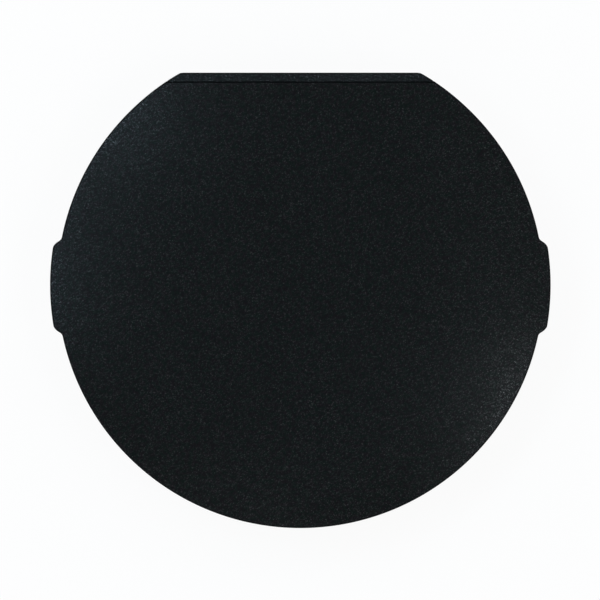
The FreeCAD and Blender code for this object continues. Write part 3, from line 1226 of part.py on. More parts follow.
def inlet_nuts():
    """The two nuts behind the drum on the inlet's screws."""
    nuts = []
    for p in inlet_screw_seats():
        face = V(p.x, DRUM_FLAT - DRUM_SHEET, p.z)
        hexagon = []
        for n in range(6):
            turn = math.radians(60 * n)
            flat_to_corner = SMALL_HEAD_RADIUS
            hexagon.append(face + V(flat_to_corner * math.cos(turn), 0, flat_to_corner * math.sin(turn)))
        nut = prism(hexagon, V(0, -SMALL_HEAD_HEIGHT, 0))
        nuts.append(nut.cut(rod(SMALL_SCREW_RADIUS + THREAD_SLACK, face + Y_AXIS, face - Y_AXIS * FAR)))
    return Part.makeCompound(nuts)


# Protection and wiring

def fuse_middle():
    """Middle of the thermal fuse, just under the reflector."""
    return polar(RIB_RADIUS + FUSE_OUTWARD, FUSE_ANGLE, DISH_Z - FUSE_RADIUS - SLIP)


def thermal_fuse():
    """One-shot thermal cut-out clamped under the reflector."""
    p = fuse_middle()
    half = V(FUSE_LENGTH / 2, 0, 0)
    return rod(FUSE_RADIUS, p - half, p + half)


def fuse_screw_place():
    """Middle of the screw that holds the fuse's strap."""
    p = fuse_middle()
    return V(p.x, p.y - FUSE_RADIUS - SLIP - STRAP_SHEET - STRAP_WIDTH / 2, 0)


def fuse_strap():
    """Bent strap that clamps the fuse to the reflector's underside."""
    p = fuse_middle()
    screw_y = fuse_screw_place().y
    x0, x1 = p.x - STRAP_WIDTH / 2, p.x + STRAP_WIDTH / 2
    under = p.z - FUSE_RADIUS - SLIP
    inner = p.y - FUSE_RADIUS - SLIP
    shelf = block(x0, x1, inner - STRAP_SHEET, p.y + FUSE_RADIUS, under - STRAP_SHEET, under)
    leg = block(x0, x1, inner - STRAP_SHEET, inner, under - STRAP_SHEET, DISH_Z)
    ear = block(x0, x1, screw_y - STRAP_WIDTH / 2, inner, DISH_Z - STRAP_SHEET, DISH_Z)
    hole = post(SMALL_SCREW_RADIUS + THREAD_SLACK, p.x, screw_y, 0, FAR)
    return fused([shelf, leg, ear]).cut(hole)


def stud_place():
    """Middle of the earth stud."""
    return polar(INNER_LOOP_RADIUS - STUD_INWARD, STUD_ANGLE)


def reflector_screws():
    """The fuse strap's screw and the earth stud, both down through the reflector."""
    rise = V(0, 0, DISH_TOP_Z)
    return Part.makeCompound([small_screw(fuse_screw_place() + rise, V(0, 0, -1), STRAP_SCREW_LENGTH),
                              small_screw(stud_place() + rise, V(0, 0, -1), STUD_LENGTH)])


def earth_tag():
    """Ring tag under the reflector on the earth stud."""
    p = stud_place()
    ring = post(STRAP_WIDTH / 2, p.x, p.y, DISH_Z - TAB_SHEET, DISH_Z)
    tongue = block(p.x - TAB_WIDTH / 2, p.x + TAB_WIDTH / 2, p.y, p.y + STRAP_WIDTH,
                   DISH_Z - TAB_SHEET, DISH_Z)
    return fused([ring, tongue]).cut(post(SMALL_SCREW_RADIUS + THREAD_SLACK, p.x, p.y, 0, FAR))


def tube(name, points, radius):
    """Tube along straight runs joined by tangent arcs, each as large as its two runs allow."""
    runs = [b - a for a, b in zip(points, points[1:])]
    edges, last, radii = [], points[0], []
    for corner, before, after in zip(points[1:-1], runs, runs[1:]):
        way_in, way_out = V(before).normalize(), V(after).normalize()
        turn = math.acos(max(-1, min(1, way_in.dot(way_out))))
        reach = TUCK * min(before.Length, after.Length)
        bend = reach / math.tan(turn / 2)
        radii.append(bend)
        start, end = corner - way_in * reach, corner + way_out * reach
        inward = (way_out - way_in).normalize()
        middle = corner + inward * (bend / math.cos(turn / 2) - bend)
        edges += [Part.LineSegment(last, start), Part.Arc(start, middle, end)]
        last = end
    edges.append(Part.LineSegment(last, points[-1]))
    solid = pipe(edges, radius)
    length = sum(e.length() for e in edges)
    bends = " ".join(f"{bend:.1f}" for bend in radii)
    share = solid.Volume / (math.pi * radius ** 2 * length)
    print(f"{name}: length {length:.0f} mm, bend radii {bends} mm, volume by section and length {share:.4f}")
    return solid


def spot(x, y, z):
    """A typed point, or a step from a terminal, kept in step with the plate's radius and the reflector's
    height."""
    across, up = PLATE_RADIUS * ROUTE_PLAN_RATIO, DISH_Z * ROUTE_RISE_RATIO
    return V(x * across, y * across, z * up)


def capillary_route():
    """Capillary from the thermostat's back to the sensor sleeve's side."""
    port_z = (SLEEVE_Z + SLEEVE_FLANGE + DISH_Z) / 2
    start = V(THERMOSTAT_TAB_X / 2, -THERMOSTAT_REAR, CONTROL_Z + THERMOSTAT_TAB_DROP)
    inside = V(0, -SLEEVE_RADIUS, port_z)
    return [start, start + spot(0, 14, 0), spot(14, -86, 35), spot(20, -66, 34), spot(15, -46, 39),
            spot(4, -31, 46), inside - spot(0, 9.7, 0), inside]


def wire_routes():
    """Each wire's points, from terminal to terminal."""
    blade_y = tail_end()
    (live_x, blade_z), (neutral_x, blade_z), (earth_x, earth_z) = blade_places()
    switch_y = TAB_LENGTH - SWITCH_REAR
    stat_y = TAB_LENGTH - THERMOSTAT_REAR
    stat_z = CONTROL_Z - THERMOSTAT_TAB_DROP
    outer, inner = (leg_foot(which) - Z_AXIS * PIN_LENGTH for which in (0, 1))
    fuse = fuse_middle()
    fuse_end = V(FUSE_LENGTH / 2, 0, 0)
    tag_z = DISH_Z - TAB_SHEET - WIRE_RADIUS
    live, neutral = V(live_x, blade_y, blade_z), V(neutral_x, blade_y, blade_z)
    earth, tag = V(earth_x, blade_y, earth_z), stud_place() + V(0, 0, tag_z)
    switch_live = V(SWITCH_X, switch_y, CONTROL_Z + SWITCH_TAB_RISE)
    switched = V(SWITCH_X, switch_y, CONTROL_Z - SWITCH_TAB_RISE)
    stat_in, stat_out = (V(x, stat_y, stat_z) for x in (-THERMOSTAT_TAB_X, THERMOSTAT_TAB_X))
    return {
        "live_wire": [live, live - spot(0, 12, 0), spot(2, 68, 23), spot(-11, 44, 13.5), spot(-25, 14, 12.5),
                      spot(-31, -20, 13), spot(-33, -52, 13.5), spot(-39, -80, 24),
                      switch_live + spot(0, 14, 0), switch_live],
        "switch_wire": [switched, switched + spot(0, 12, 0), spot(-33, -99, 26.5), spot(-24, -91, 25.5),
                        spot(-14.5, -95, 26.5), stat_in + spot(0, 10, 0), stat_in],
        "heater_wire": [stat_out, stat_out + spot(0, 11, 0), spot(5, -88, 25), spot(-10, -72, 20.5),
                        spot(-34, -56, 20), spot(-60, -42, 17), spot(-80, -24, 15), spot(-92, -2, 14),
                        spot(-92, 18, 13.5), spot(-90.5, 31, 15.5), outer - spot(0, 0, 10.5), outer],
        "neutral_wire": [neutral, neutral - spot(0, 11, 0), spot(-10.5, 75.5, 36.5),
                         fuse + fuse_end + spot(11, 0, 0), fuse + fuse_end],
        "fuse_wire": [fuse - fuse_end, fuse - fuse_end - spot(10.5, 0, 0), spot(-64, 67, 40.5),
                      spot(-69.5, 57, 32.5), spot(-69.5, 46, 23.5), spot(-66, 38, 16.5), spot(-62, 29, 16),
                      inner - spot(0, 0, 10.5), inner],
        "earth_wire": [earth, earth - spot(0, 11, 0), spot(5, 76.5, 40), spot(13, 71, 46),
                       tag + spot(0, 14, 0), tag + spot(0, 4, 0)],
    }


# All the pieces, one file for each

def pieces():
    """Name and shape of every piece."""
    made = {
        "cooking_plate": cooking_plate(),
        "hinge_rod": hinge_rod(),
        "rod_clips": rod_clips(),
        "left_hinge_bracket": hinge_bracket(-1),
        "right_hinge_bracket": hinge_bracket(1),
        "hinge_backing_plate": hinge_backing_plate(),
        "bracket_screws": bracket_screws(),
        "base_tray": base_tray(),
        "drum": drum(),
        "top_ring": top_ring(),
        "rest_pads": rest_pads(),
        "ring_screws": ring_screws(),
        "foot_screws": foot_screws(),
        "heating_element": heating_element(),
        "element_pins": element_pins(),
        "element_bushes": element_bushes(),
        "reflector": reflector(),
        "loop_bracket_rivets": loop_bracket_rivets(),
        "sensor_sleeve": sensor_sleeve(),
        "sleeve_rivets": sleeve_rivets(),
        "sensor_cap": sensor_cap(),
        "sensor_spring": sensor_spring(),
        "control_box": control_box(),
        "control_screws": control_screws(),
        "thermostat_body": thermostat_body(),
        "thermostat_tabs": thermostat_tabs(),
        "thermostat_screws": thermostat_screws(),
        "thermostat_shaft": thermostat_shaft(),
        "knob": knob(),
        "switch_body": switch_body(),
        "switch_rocker": switch_rocker(),
        "switch_tabs": switch_tabs(),
        "neon_lamps": neon_lamps(),
        "inlet_body": inlet_body(),
        "inlet_blades": inlet_blades(),
        "inlet_screws": inlet_screws(),
        "inlet_nuts": inlet_nuts(),
        "thermal_fuse": thermal_fuse(),
        "fuse_strap": fuse_strap(),
        "reflector_screws": reflector_screws(),
        "earth_tag": earth_tag(),
        "capillary": tube("capillary", capillary_route(), CAPILLARY_RADIUS),
    }
    for name, angle in FOOT_ANGLES.items():
        made[name + "_foot"] = foot(angle)
    for number, angle in enumerate(BRACKET_ANGLES, start=1):
        made[f"loop_bracket_{number}"] = loop_bracket(angle)
    for name, z in LAMP_HEIGHTS.items():
        made[name] = lens(z)
    for name, route in wire_routes().items():
        made[name] = tube(name, route, WIRE_RADIUS)
    return made


def to_frame(shape):
    """A copy moved so that the origin is the middle of the footprint."""
    copy = shape.copy()
    copy.translate(FRAME_SHIFT)
    return copy


def main():
    os.makedirs("parts", exist_ok=True)
    for name, shape in pieces().items():
        to_frame(shape).exportStep(f"parts/{name}.step")


if __name__ == "__main__":
    main()
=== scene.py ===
"""Dressed model of an electric crepe maker: griddle plate, controls, feet, finishes and a plain stage."""

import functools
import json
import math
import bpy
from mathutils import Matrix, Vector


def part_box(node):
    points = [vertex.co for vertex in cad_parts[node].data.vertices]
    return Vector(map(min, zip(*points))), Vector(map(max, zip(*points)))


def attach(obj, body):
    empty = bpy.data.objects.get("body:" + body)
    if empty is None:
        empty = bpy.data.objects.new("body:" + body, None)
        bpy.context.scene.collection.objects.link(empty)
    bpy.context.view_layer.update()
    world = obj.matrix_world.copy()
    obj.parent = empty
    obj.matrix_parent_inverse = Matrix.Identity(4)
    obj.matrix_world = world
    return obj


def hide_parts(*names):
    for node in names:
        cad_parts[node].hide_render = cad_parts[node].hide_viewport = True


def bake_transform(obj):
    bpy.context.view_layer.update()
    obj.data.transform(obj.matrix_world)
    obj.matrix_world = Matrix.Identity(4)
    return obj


bl_info = {
    "name": "Electric crepe maker",
    "version": (1, 0, 0),
    "blender": (4, 5, 0),
    "location": "3D View > Sidebar > Crepe maker",
    "description": "Makes the crepe maker's plate, controls, feet and finishes over its built frame",
    "category": "Object",
}

import bmesh
import bpy
import numpy as np

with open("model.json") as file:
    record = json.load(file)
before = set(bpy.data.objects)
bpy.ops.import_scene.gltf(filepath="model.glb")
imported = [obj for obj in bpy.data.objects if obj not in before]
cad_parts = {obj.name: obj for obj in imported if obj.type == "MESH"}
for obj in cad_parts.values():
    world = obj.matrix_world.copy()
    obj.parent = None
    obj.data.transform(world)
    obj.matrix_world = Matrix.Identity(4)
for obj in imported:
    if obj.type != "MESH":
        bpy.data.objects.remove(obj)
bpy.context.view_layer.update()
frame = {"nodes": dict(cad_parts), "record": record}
MM = 0.001


def corners(node):
    """Lowest corner, middle and highest corner of a built node, in metres."""
    low, high = (np.array(corner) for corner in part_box(node))
    return low, (low + high) / 2, high


PLATE_TOP = float(corners("cooking_plate")[2][2])
DISC_Y = float(corners("sensor_cap")[1][1])
PANEL_FACE = float(corners("control_box")[0][1])
RIGHT, FRONT, UP = np.array([1, 0, 0]), np.array([0, -1, 0]), np.array([0, 0, 1])
JOIN = 0.2 * MM  # how far a rim, rib or hook starts inside the plate, so that the two join
PRINT = 0.06 * MM  # how far a printed mark stands out of its face

finishes = {}


# Sizes and colours that a user would change

def number(label, about, default, **kind):
    """A number for a property group."""
    return bpy.props.FloatProperty(name=label, description=about, default=default, min=0.0, **kind)


def length(label, about, millimetres):
    """A length for a property group, given in millimetres and held in metres."""
    return number(label, about, millimetres * MM, precision=5, subtype="DISTANCE", unit="LENGTH")


def angle(label, about, degrees):
    """An angle for a property group, given in degrees and held in radians."""
    return number(label, about, math.radians(degrees), subtype="ANGLE", unit="ROTATION")


def colour(label, about, default):
    """A colour for a property group."""
    return bpy.props.FloatVectorProperty(name=label, description=about, default=default, size=3, min=0.0,
                                         max=1.0, subtype="COLOR")


class CrepePlateSizes(bpy.types.PropertyGroup):
    """Shape of the griddle plate."""
    radius: length("Disc radius", "Radius of the round plate", 165)
    rear_cut: length("Rear cut", "How far the straight rear edge cuts into the circle", 21)
    corner: length("Rear corner blend", "Depth over which circle and straight edge blend", 0.95)
    fullness: length("Fullness", "How far the circle swells out towards the rear corners", 0.3)
    fullness_spread: angle("Fullness spread", "Angle over which that swelling dies away", 11)
    lug_reach: length("Lug reach", "How far a side lug stands out of the circle", 4.8)
    lug_forward: length("Lug forward", "How far the lugs' middles lie in front of the disc's", 1.3)
    lug_root: angle("Lug root", "Lug's middle to the foot of its slope", 11.2)
    lug_tip: angle("Lug tip", "Lug's middle to the top of its slope", 9.7)
    lug_root_blend: number("Lug root blend", "Rounding at the slope's foot, as a share of the slope", 0.35)
    lug_tip_blend: number("Lug tip blend", "Rounding at the slope's top, as a share of the slope", 0.6)
    thickness: length("Thickness", "Thickness of the plate", 6)
    edge_round: length("Edge rounding", "Radius of the rounding along the upper edge", 1.2)
    groove_inset: length("Groove inset", "Straight rear edge to the middle of the groove", 6.6)
    groove_width: length("Groove width", "Width of the straight groove", 0.8)
    groove_depth: length("Groove depth", "Depth of the straight groove", 0.8)
    strip_fall: length("Strip fall", "How far the strip behind the groove slopes down", 0.4)
    rim_inset: length("Rim inset", "Plate's edge to the rim under it", 12)
    rim_depth: length("Rim depth", "How far the rim hangs down", 5)
    rim_gap: length("Rim gap", "Middle of the plate to the rim's two ends at the rear", 66.8)
    rib_radius: length("Rib radius", "Radius of the round rib between the element's loops", 79)
    rib_depth: length("Rib depth", "How far the rib hangs down", 3.5)
    rib_notch: angle("Rib notch", "Where the rib is open for the element's bend", 166.5)
    rib_notch_half: angle("Rib notch width", "Half of the rib's opening", 4.9)
    wall: length("Rim and rib wall", "Thickness of the rim and the rib", 3)
    wall_round: length("Rim and rib rounding", "Rounding along their lower edges", 0.8)


class CrepeHookSizes(bpy.types.PropertyGroup):
    """Sizes of the plate's two hooks."""
    outer_face: length("Outer face", "Middle of the plate to a hook's outer face", 52.2)
    width: length("Width", "Width of a hook along the rod", 8)
    bore: length("Bore", "Radius of the hollow that sits on the rod", 3.15)
    half_depth: length("Half depth", "Half of a hook from front to back", 6)
    tip: length("Tip", "How far a hook's legs reach under the rod's axis", 5.2)
    toe: length("Toe", "Width of the metal at a leg's lower end", 1.5)
    flare: length("Flare", "How far a hook widens where it grows out of the plate", 1.4)
    edge_round: length("Edge rounding", "Rounding along all edges", 0.5)


class CrepeFootSizes(bpy.types.PropertyGroup):
    """Sizes of a rubber foot."""
    sink: length("Screw recess", "Radius of the hollow round the screw's head", 3.8)
    hole: length("Screw hole", "Radius of the hole above the screw's head", 2.2)
    recess: length("Recess depth", "Sole to the shoulder that the screw bears on", 5.2)
    taper: length("Taper", "How much smaller the sole's radius is than the top's", 2)
    groove: length("Sole groove", "Depth of the rings cut in the sole", 0.4)
    groove_width: length("Sole groove width", "Width of a ring at the sole", 0.8)
    groove_step: length("Sole groove step", "Distance between rings", 1.5)


class CrepeSpringSizes(bpy.types.PropertyGroup):
    """Sizes of the coil spring under the sensor cap."""
    wire: length("Wire", "Radius of the spring's wire", 0.6)
    turns: bpy.props.IntProperty(name="Turns", description="Turns of the coil", default=6, min=2)


class CrepeControlSizes(bpy.types.PropertyGroup):
    """Sizes of the knob and the switch's rocker."""
    knob_radius: length("Knob radius", "Radius of the knob's disc", 14)
    knob_disc: length("Knob disc", "Thickness of the knob's disc", 5.4)
    grip_width: length("Grip width", "Width of the knob's grip bar", 8)
    rocker_tilt: angle("Rocker tilt", "How far each half of the rocker's face slopes", 12)
    rocker_reach: length("Rocker reach", "Rocker's foremost edge to its pivot", 5.2)


class CrepeFinishColours(bpy.types.PropertyGroup):
    """Colours of the main finishes."""
    coat: colour("Coat", "Dark coat on the griddle plate", (0.0032, 0.0041, 0.0044))
    fleck: colour("Flecks", "Pale flecks in the coat", (0.120, 0.130, 0.136))
    drift: number("Drift", "How far the coat's red and green drift apart from place to place", 0.0007)
    cast: colour("Bare casting", "Bare aluminium under the plate", (0.42, 0.42, 0.41))
    moulding: colour("Black moulding", "Housing, ring and control box", (0.018, 0.018, 0.019))
    ink: colour("Printed marks", "Ink of the dial and switch marks", (0.72, 0.72, 0.70))


class CrepeStageSettings(bpy.types.PropertyGroup):
    """Camera, lamps and floor."""
    camera_height: length("Camera height", "Camera above the plate", 1250)
    view_width: length("View width", "Width that the picture shows at the plate", 406.6)
    aside: length("Camera aside", "How far the camera stands to the left of the plate and behind it", 0.24)
    lamp_height: length("Lamp height", "Lamps above the floor", 1200)
    corner_power: number("Corner lamp", "Power of the soft lamp at the left rear", 1.65)
    left_power: number("Left lamp", "Power of the soft lamp at the left", 1.95)
    right_power: number("Right lamp", "Power of the soft lamp at the right front", 1.55)
    far_power: number("Far lamp", "Power of the wide faint lamp at the right rear", 0.22)
    near_power: number("Near lamp", "Power of the wide faint lamp at the left front", 0.2)
    rear_power: number("Rear lamp", "Power of the long lamp behind, which lights the sloped strip", 0.95)
    fill: number("Room light", "Strength of the even light from all round", 0.75)


# Meshes from grids of points

def cells(rows, columns, wrap_rows, wrap_columns):
    """Corner numbers of each four-sided cell in a grid, row by row. A wrapped side joins the last line of
    points to the first."""
    index = np.pad(np.arange(rows * columns).reshape(rows, columns),
                   ((0, wrap_rows), (0, wrap_columns)), "wrap")
    return np.stack([index[:-1, :-1], index[:-1, 1:], index[1:, 1:], index[1:, :-1]], axis=-1).reshape(-1, 4)


def add_piece(name, surfaces, body, slot, node=None, crease=32.0):
    """One piece from (points, wrap rows, wrap columns) grids. Points that coincide are merged, which closes
    seams and poles, and faces are turned outwards."""
    points, faces, start = [], [], 0
    for grid, wrap_rows, wrap_columns in surfaces:
        points.append(grid.reshape(-1, 3))
        faces.append(cells(*grid.shape[:2], wrap_rows, wrap_columns) + start)
        start += len(points[-1])
    mesh = bpy.data.meshes.new(name)
    mesh.from_pydata(np.vstack(points), [], np.vstack(faces))
    merged = bmesh.new()
    merged.from_mesh(mesh)
    bmesh.ops.remove_doubles(merged, verts=merged.verts, dist=1e-6)
    bmesh.ops.dissolve_degenerate(merged, edges=merged.edges, dist=1e-7)
    bmesh.ops.recalc_face_normals(merged, faces=merged.faces)
    merged.to_mesh(mesh)
    merged.free()
    mesh.shade_smooth()
    mesh.set_sharp_from_angle(angle=math.radians(crease))
    return add_mesh(name, mesh, body, slot, node)


def add_mesh(name, mesh, body, slot, node=None):
    """One piece from a finished mesh, with its body, its finish and slot, and the built node it stands for.
    A piece that stretches between two bodies has none yet."""
    mesh.materials.append(finishes[slot])
    piece = put(name, mesh)
    if body:
        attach(piece, body)
    if node:
        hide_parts(node)
    return piece


def put(name, data, place=(0, 0, 0)):
    """An object in the scene for a mesh, lamp or camera."""
    thing = bpy.data.objects.new(name, data)
    thing.location = place
    bpy.context.scene.collection.objects.link(thing)
    return thing


def whole_turn(steps):
    """Angles of one turn, evenly spaced and without its end."""
    return np.linspace(0, 2 * np.pi, steps, endpoint=False)


def spokes(angle):
    """Level vectors of length 1 at these angles: (cos a, sin a, 0)."""
    return np.column_stack([np.cos(angle), np.sin(angle), np.zeros(len(angle))])


def unit(vectors):
    """Vectors of length 1 in the same directions."""
    return vectors / np.linalg.norm(vectors, axis=1)[:, None]


def right_of(line):
    """Level vectors of length 1 to the right of a line's run."""
    run = np.gradient(line, axis=0)
    return unit(np.column_stack([run[:, 1], -run[:, 0], np.zeros(len(run))]))


def turned(profile, origin, along=FRONT, steps=96):
    """Surface of revolution. Point = origin + along * height + radius * (right * cos a + other * sin a), for
    every (radius, height) of the profile and every angle a of one turn."""
    radius, height = np.asarray(profile, float).T[:, :, None, None]
    angle = whole_turn(steps)[:, None]
    ring = np.cos(angle) * RIGHT + np.sin(angle) * np.cross(along, RIGHT)
    return origin + height * along + radius * ring


def swept(section, path, side, up):
    """A section carried along a path. Point = path point + side * section x + up * section y."""
    across, rise = np.asarray(section, float).T[:, :, None]
    return path[:, None] + side[:, None] * across + up[..., None, :] * rise


def capped(grid):
    """A sweep's wall and the two fans that close it, from its end sections' points to their mean."""
    fans = [np.stack([row, np.broadcast_to(row.mean(axis=0), row.shape)]) for row in (grid[0], grid[-1])]
    return [(part, False, True) for part in (grid, *fans)]


def smooth_steps(values, counts):
    """Values joined by straight runs, each divided evenly into the given number of steps."""
    runs = [np.linspace(a, b, n, endpoint=False) for a, b, n in zip(values[:-1], values[1:], counts)]
    return np.concatenate(runs + [values[-1:]])


def evenly(line, count):
    """Points spaced evenly along a line of points."""
    run = np.append(0, np.cumsum(np.linalg.norm(np.diff(line, axis=0), axis=1)))
    return np.column_stack([np.interp(np.linspace(0, run[-1], count), run, part) for part in line.T])


# Griddle plate

def soft_clamp(t, low_blend, high_blend):
    """0 below 0, t between, 1 above 1, with a parabola of the given half-width at each bend."""
    bend = [np.where(np.abs(past) < blend, (past + blend) ** 2 / (4 * blend), np.maximum(past, 0))
            for past, blend in ((t, low_blend), (t - 1, high_blend))]
    return bend[0] - bend[1]


def plate_outline(sizes, angle):
    """Points of the plate's edge at these angles about the disc axis. Radius = circle's radius plus the lugs
    and a bell curve at the rear corners, blended with the straight edge's distance over the sine of the
    angle."""
    lug_middle = -math.asin(sizes.lug_forward / sizes.radius)
    folded = np.arctan2(np.sin(angle), np.abs(np.cos(angle)))
    slope = (np.abs(folded - lug_middle) - sizes.lug_tip) / (sizes.lug_root - sizes.lug_tip)
    lug = 1 - soft_clamp(slope, sizes.lug_tip_blend, sizes.lug_root_blend)
    reach = sizes.radius - sizes.rear_cut
    bell = np.exp(-((folded - math.asin(reach / sizes.radius)) / sizes.fullness_spread) ** 2)
    radius = sizes.radius + sizes.lug_reach * lug + sizes.fullness * bell
    flat = reach / np.maximum(np.sin(angle), 1e-3)
    near = np.maximum(sizes.corner - np.abs(radius - flat), 0) / sizes.corner
    radius = np.minimum(radius, flat) - near ** 2 * sizes.corner / 4
    return radius[:, None] * spokes(angle)


def outline_rows(sizes, y):
    """For each distance along +Y, half the width of the plate's flat top there and the outward direction of
    its edge, read from a dense copy of the outline."""
    fine = 40001
    edge = plate_outline(sizes, np.linspace(-np.pi / 2, np.pi / 2, fine))
    outward = right_of(edge)
    table = np.hstack([edge - outward * sizes.edge_round, outward])
    table = table[(outward[:, 0] > 1e-6) | (edge[:, 1] < 0)]
    table = table[np.argsort(table[:, 1], kind="stable")]
    width, *way = (np.interp(y, table[:, 1], table[:, column]) for column in (0, 3, 4, 5))
    return width, unit(np.column_stack(way))


def plate_rows(sizes):
    """Distances along +Y of the plate's grid rows: steps of angle from the front edge to the rear, close on
    the lugs' slopes, and close rows across the groove and at the rear corners."""
    inner, rear = sizes.radius - sizes.edge_round, sizes.radius - sizes.rear_cut
    groove, half = rear - sizes.groove_inset, sizes.groove_width / 2
    margin, strip_rows = math.radians(3), 32
    slope_end, slope_start = sizes.lug_root + margin, sizes.lug_tip - margin
    last = math.asin((groove - 3 * half) / inner)
    turn = smooth_steps(np.array([-np.pi / 2, -slope_end, -slope_start, slope_start, slope_end, last]),
                        (90, 56, 12, 56, 60))
    bends = groove + half * np.array([-3, -1.5, -1, -0.8, -0.55, 0.55, 0.8, 1, 1.5])
    across = smooth_steps(bends, (4, 4, 3, 3, 5, 3, 3, 4))
    strip = np.linspace(across[-1], rear - sizes.edge_round, strip_rows)
    return np.concatenate([inner * np.sin(turn)[:-1], across[:-1], strip])


def plate_drop(sizes, y):
    """How far the plate's upper face lies below its top at each distance along +Y: a groove with rounded
    shoulders, and a strip that slopes down evenly behind it."""
    groove = sizes.radius - sizes.rear_cut - sizes.groove_inset
    away = np.abs(y - groove) / (sizes.groove_width / 2)
    level, blend = 0.62, 0.3
    floor = 1 - soft_clamp((away - level) / (1 - level), blend, blend)
    return sizes.groove_depth * floor + sizes.strip_fall * np.clip((y - groove) / sizes.groove_inset, 0, 1)


def plate_face(width, y, z):
    """A face of the plate: x = share of the half width, over rows of y, each at its own height."""
    columns = 61
    share = np.sin(np.linspace(-np.pi / 2, np.pi / 2, columns))
    return np.stack(np.broadcast_arrays(share * width[:, None], y[:, None], z[:, None]), axis=-1)


def plate_surfaces(sizes):
    """Upper face, rounded edge, side wall and underside of the plate. The edge is the upper face's border
    pushed outwards by r * sin a and down by r * (1 - cos a), for a from 0 to a quarter turn."""
    y = plate_rows(sizes)
    width, way = outline_rows(sizes, y)
    width[0], way[0], way[-1] = 0, (0, -1, 0), (0, 1, 0)
    top = plate_face(width, y, -plate_drop(sizes, y))
    rear = top[-1, ::-1][1:-1]
    border = np.concatenate([top[:, -1], rear, top[::-1, 0][:-1]])
    border_way = np.concatenate([way, np.broadcast_to(way[-1], rear.shape), (way * [-1, 1, 1])[::-1][:-1]])
    turn = np.linspace(0, np.pi / 2, 9)
    section = sizes.edge_round * np.column_stack([np.sin(turn), np.cos(turn) - 1])
    edge = swept(section, border, border_way, UP).transpose(1, 0, 2)
    side = np.stack([edge[-1], edge[-1] * [1, 1, 0] - UP * sizes.thickness])
    under_width = width + way[:, 0] * sizes.edge_round
    under_width[-1] = width[-1]
    under = plate_face(under_width, y + way[:, 1] * sizes.edge_round, np.full_like(y, -sizes.thickness))
    grids = [(top, False, False), (edge, False, True), (side, False, True), (under, False, False)]
    return [(grid + [0, DISC_Y, PLATE_TOP], rows, columns) for grid, rows, columns in grids]


def hung_bar(sizes, depth, path, side):
    """A cast bar under the plate: a section with a rounded lower edge carried along a path."""
    half, corner = sizes.wall / 2, sizes.wall_round
    turn = np.linspace(0, np.pi / 2, 5)
    right = np.column_stack([half - corner * (1 - np.cos(turn)), corner * (1 - np.sin(turn)) - depth])
    section = np.concatenate([right, right[::-1] * [-1, 1], [[-half, JOIN], [half, JOIN]]])
    return capped(swept(section, path - UP * sizes.thickness, side, UP) + [0, DISC_Y, PLATE_TOP])


def rim_surfaces(sizes):
    """Upright rim under the plate: a bar along a line inside the outline, with a gap at the rear between the
    hinge brackets."""
    radius = sizes.radius - sizes.rim_inset - sizes.wall / 2
    flat, steps = radius - sizes.rear_cut, 260
    corner = math.asin(flat / radius)
    ring = radius * spokes(np.linspace(corner, -np.pi - corner, steps))
    path = np.vstack([[sizes.rim_gap, flat, 0], ring, [-sizes.rim_gap, flat, 0]])
    return hung_bar(sizes, sizes.rim_depth, path, right_of(path))


def rib_surfaces(sizes):
    """Round rib between the element's loops: a bar round a circle, with a notch where the element's bend
    passes."""
    notch, half, steps = sizes.rib_notch, sizes.rib_notch_half, 200
    side = spokes(np.linspace(notch + half, notch + 2 * np.pi - half, steps))
    return hung_bar(sizes, sizes.rib_depth, side * sizes.rib_radius, side)


def hook_surfaces(sizes, thickness):
    """The two hooks that drop over the hinge rod. Each is a band between an outer line and an inner line,
    carried across the hook's width. The inner line is half a circle over two straight legs. The outer line
    runs round the toes on quarter ovals and flares by the square of the height where it meets the plate."""
    rod, count = corners("hinge_rod")[1], 97
    root = PLATE_TOP - thickness + JOIN - rod[2]
    turn = np.linspace(0, np.pi / 2, 17)
    foot = sizes.bore + sizes.toe
    toe = (sizes.half_depth - foot) * np.sin(turn) + foot
    flare = np.linspace(0, 1, 17)[1:]
    right = np.column_stack([np.append(toe, sizes.half_depth + sizes.flare * flare ** 2),
                             np.append(-sizes.tip * np.cos(turn), root * flare)])
    outer = evenly(np.vstack([right, right[::-1] * [-1, 1]]), count)
    arch = sizes.bore * spokes(2 * turn)[:, :2]
    inner = evenly(np.vstack([[sizes.bore, -sizes.tip], arch, [-sizes.bore, -sizes.tip]]), count)
    surfaces = []
    for side in (-1, 1):
        near, far = side * sizes.outer_face, side * (sizes.outer_face - sizes.width)
        band = np.stack([np.column_stack([np.full(count, x), line + rod[1:]])
                         for x, line in ((near, outer), (far, outer), (far, inner), (near, inner))], axis=1)
        surfaces += [(band, False, True)]
        surfaces += [(np.stack([band[n, [0, 1]], band[n, [3, 2]]]), False, False) for n in (0, -1)]
    return surfaces


def spring_surfaces(sizes, low, centre, high):
    """Coil spring that fills a box: a round wire along a helix. The height grows by the share of the turns
    less a ninth of the sine of one turn, so that the turns at both ends lie close."""
    steps, sides = 48, 12
    share = np.linspace(0, 1, sizes.turns * steps + 1)
    radial = spokes(2 * np.pi * sizes.turns * share)
    rise = (high[2] - low[2] - 2 * sizes.wire) * (share - np.sin(2 * np.pi * share) / 9)
    path = radial * ((high[0] - low[0]) / 2 - sizes.wire) + [*centre[:2], low[2] + sizes.wire]
    path[:, 2] += rise
    up = np.cross(unit(np.gradient(path, axis=0)), radial)
    return capped(swept(sizes.wire * spokes(whole_turn(sides))[:, :2], path, radial, up))


# Knob and marks

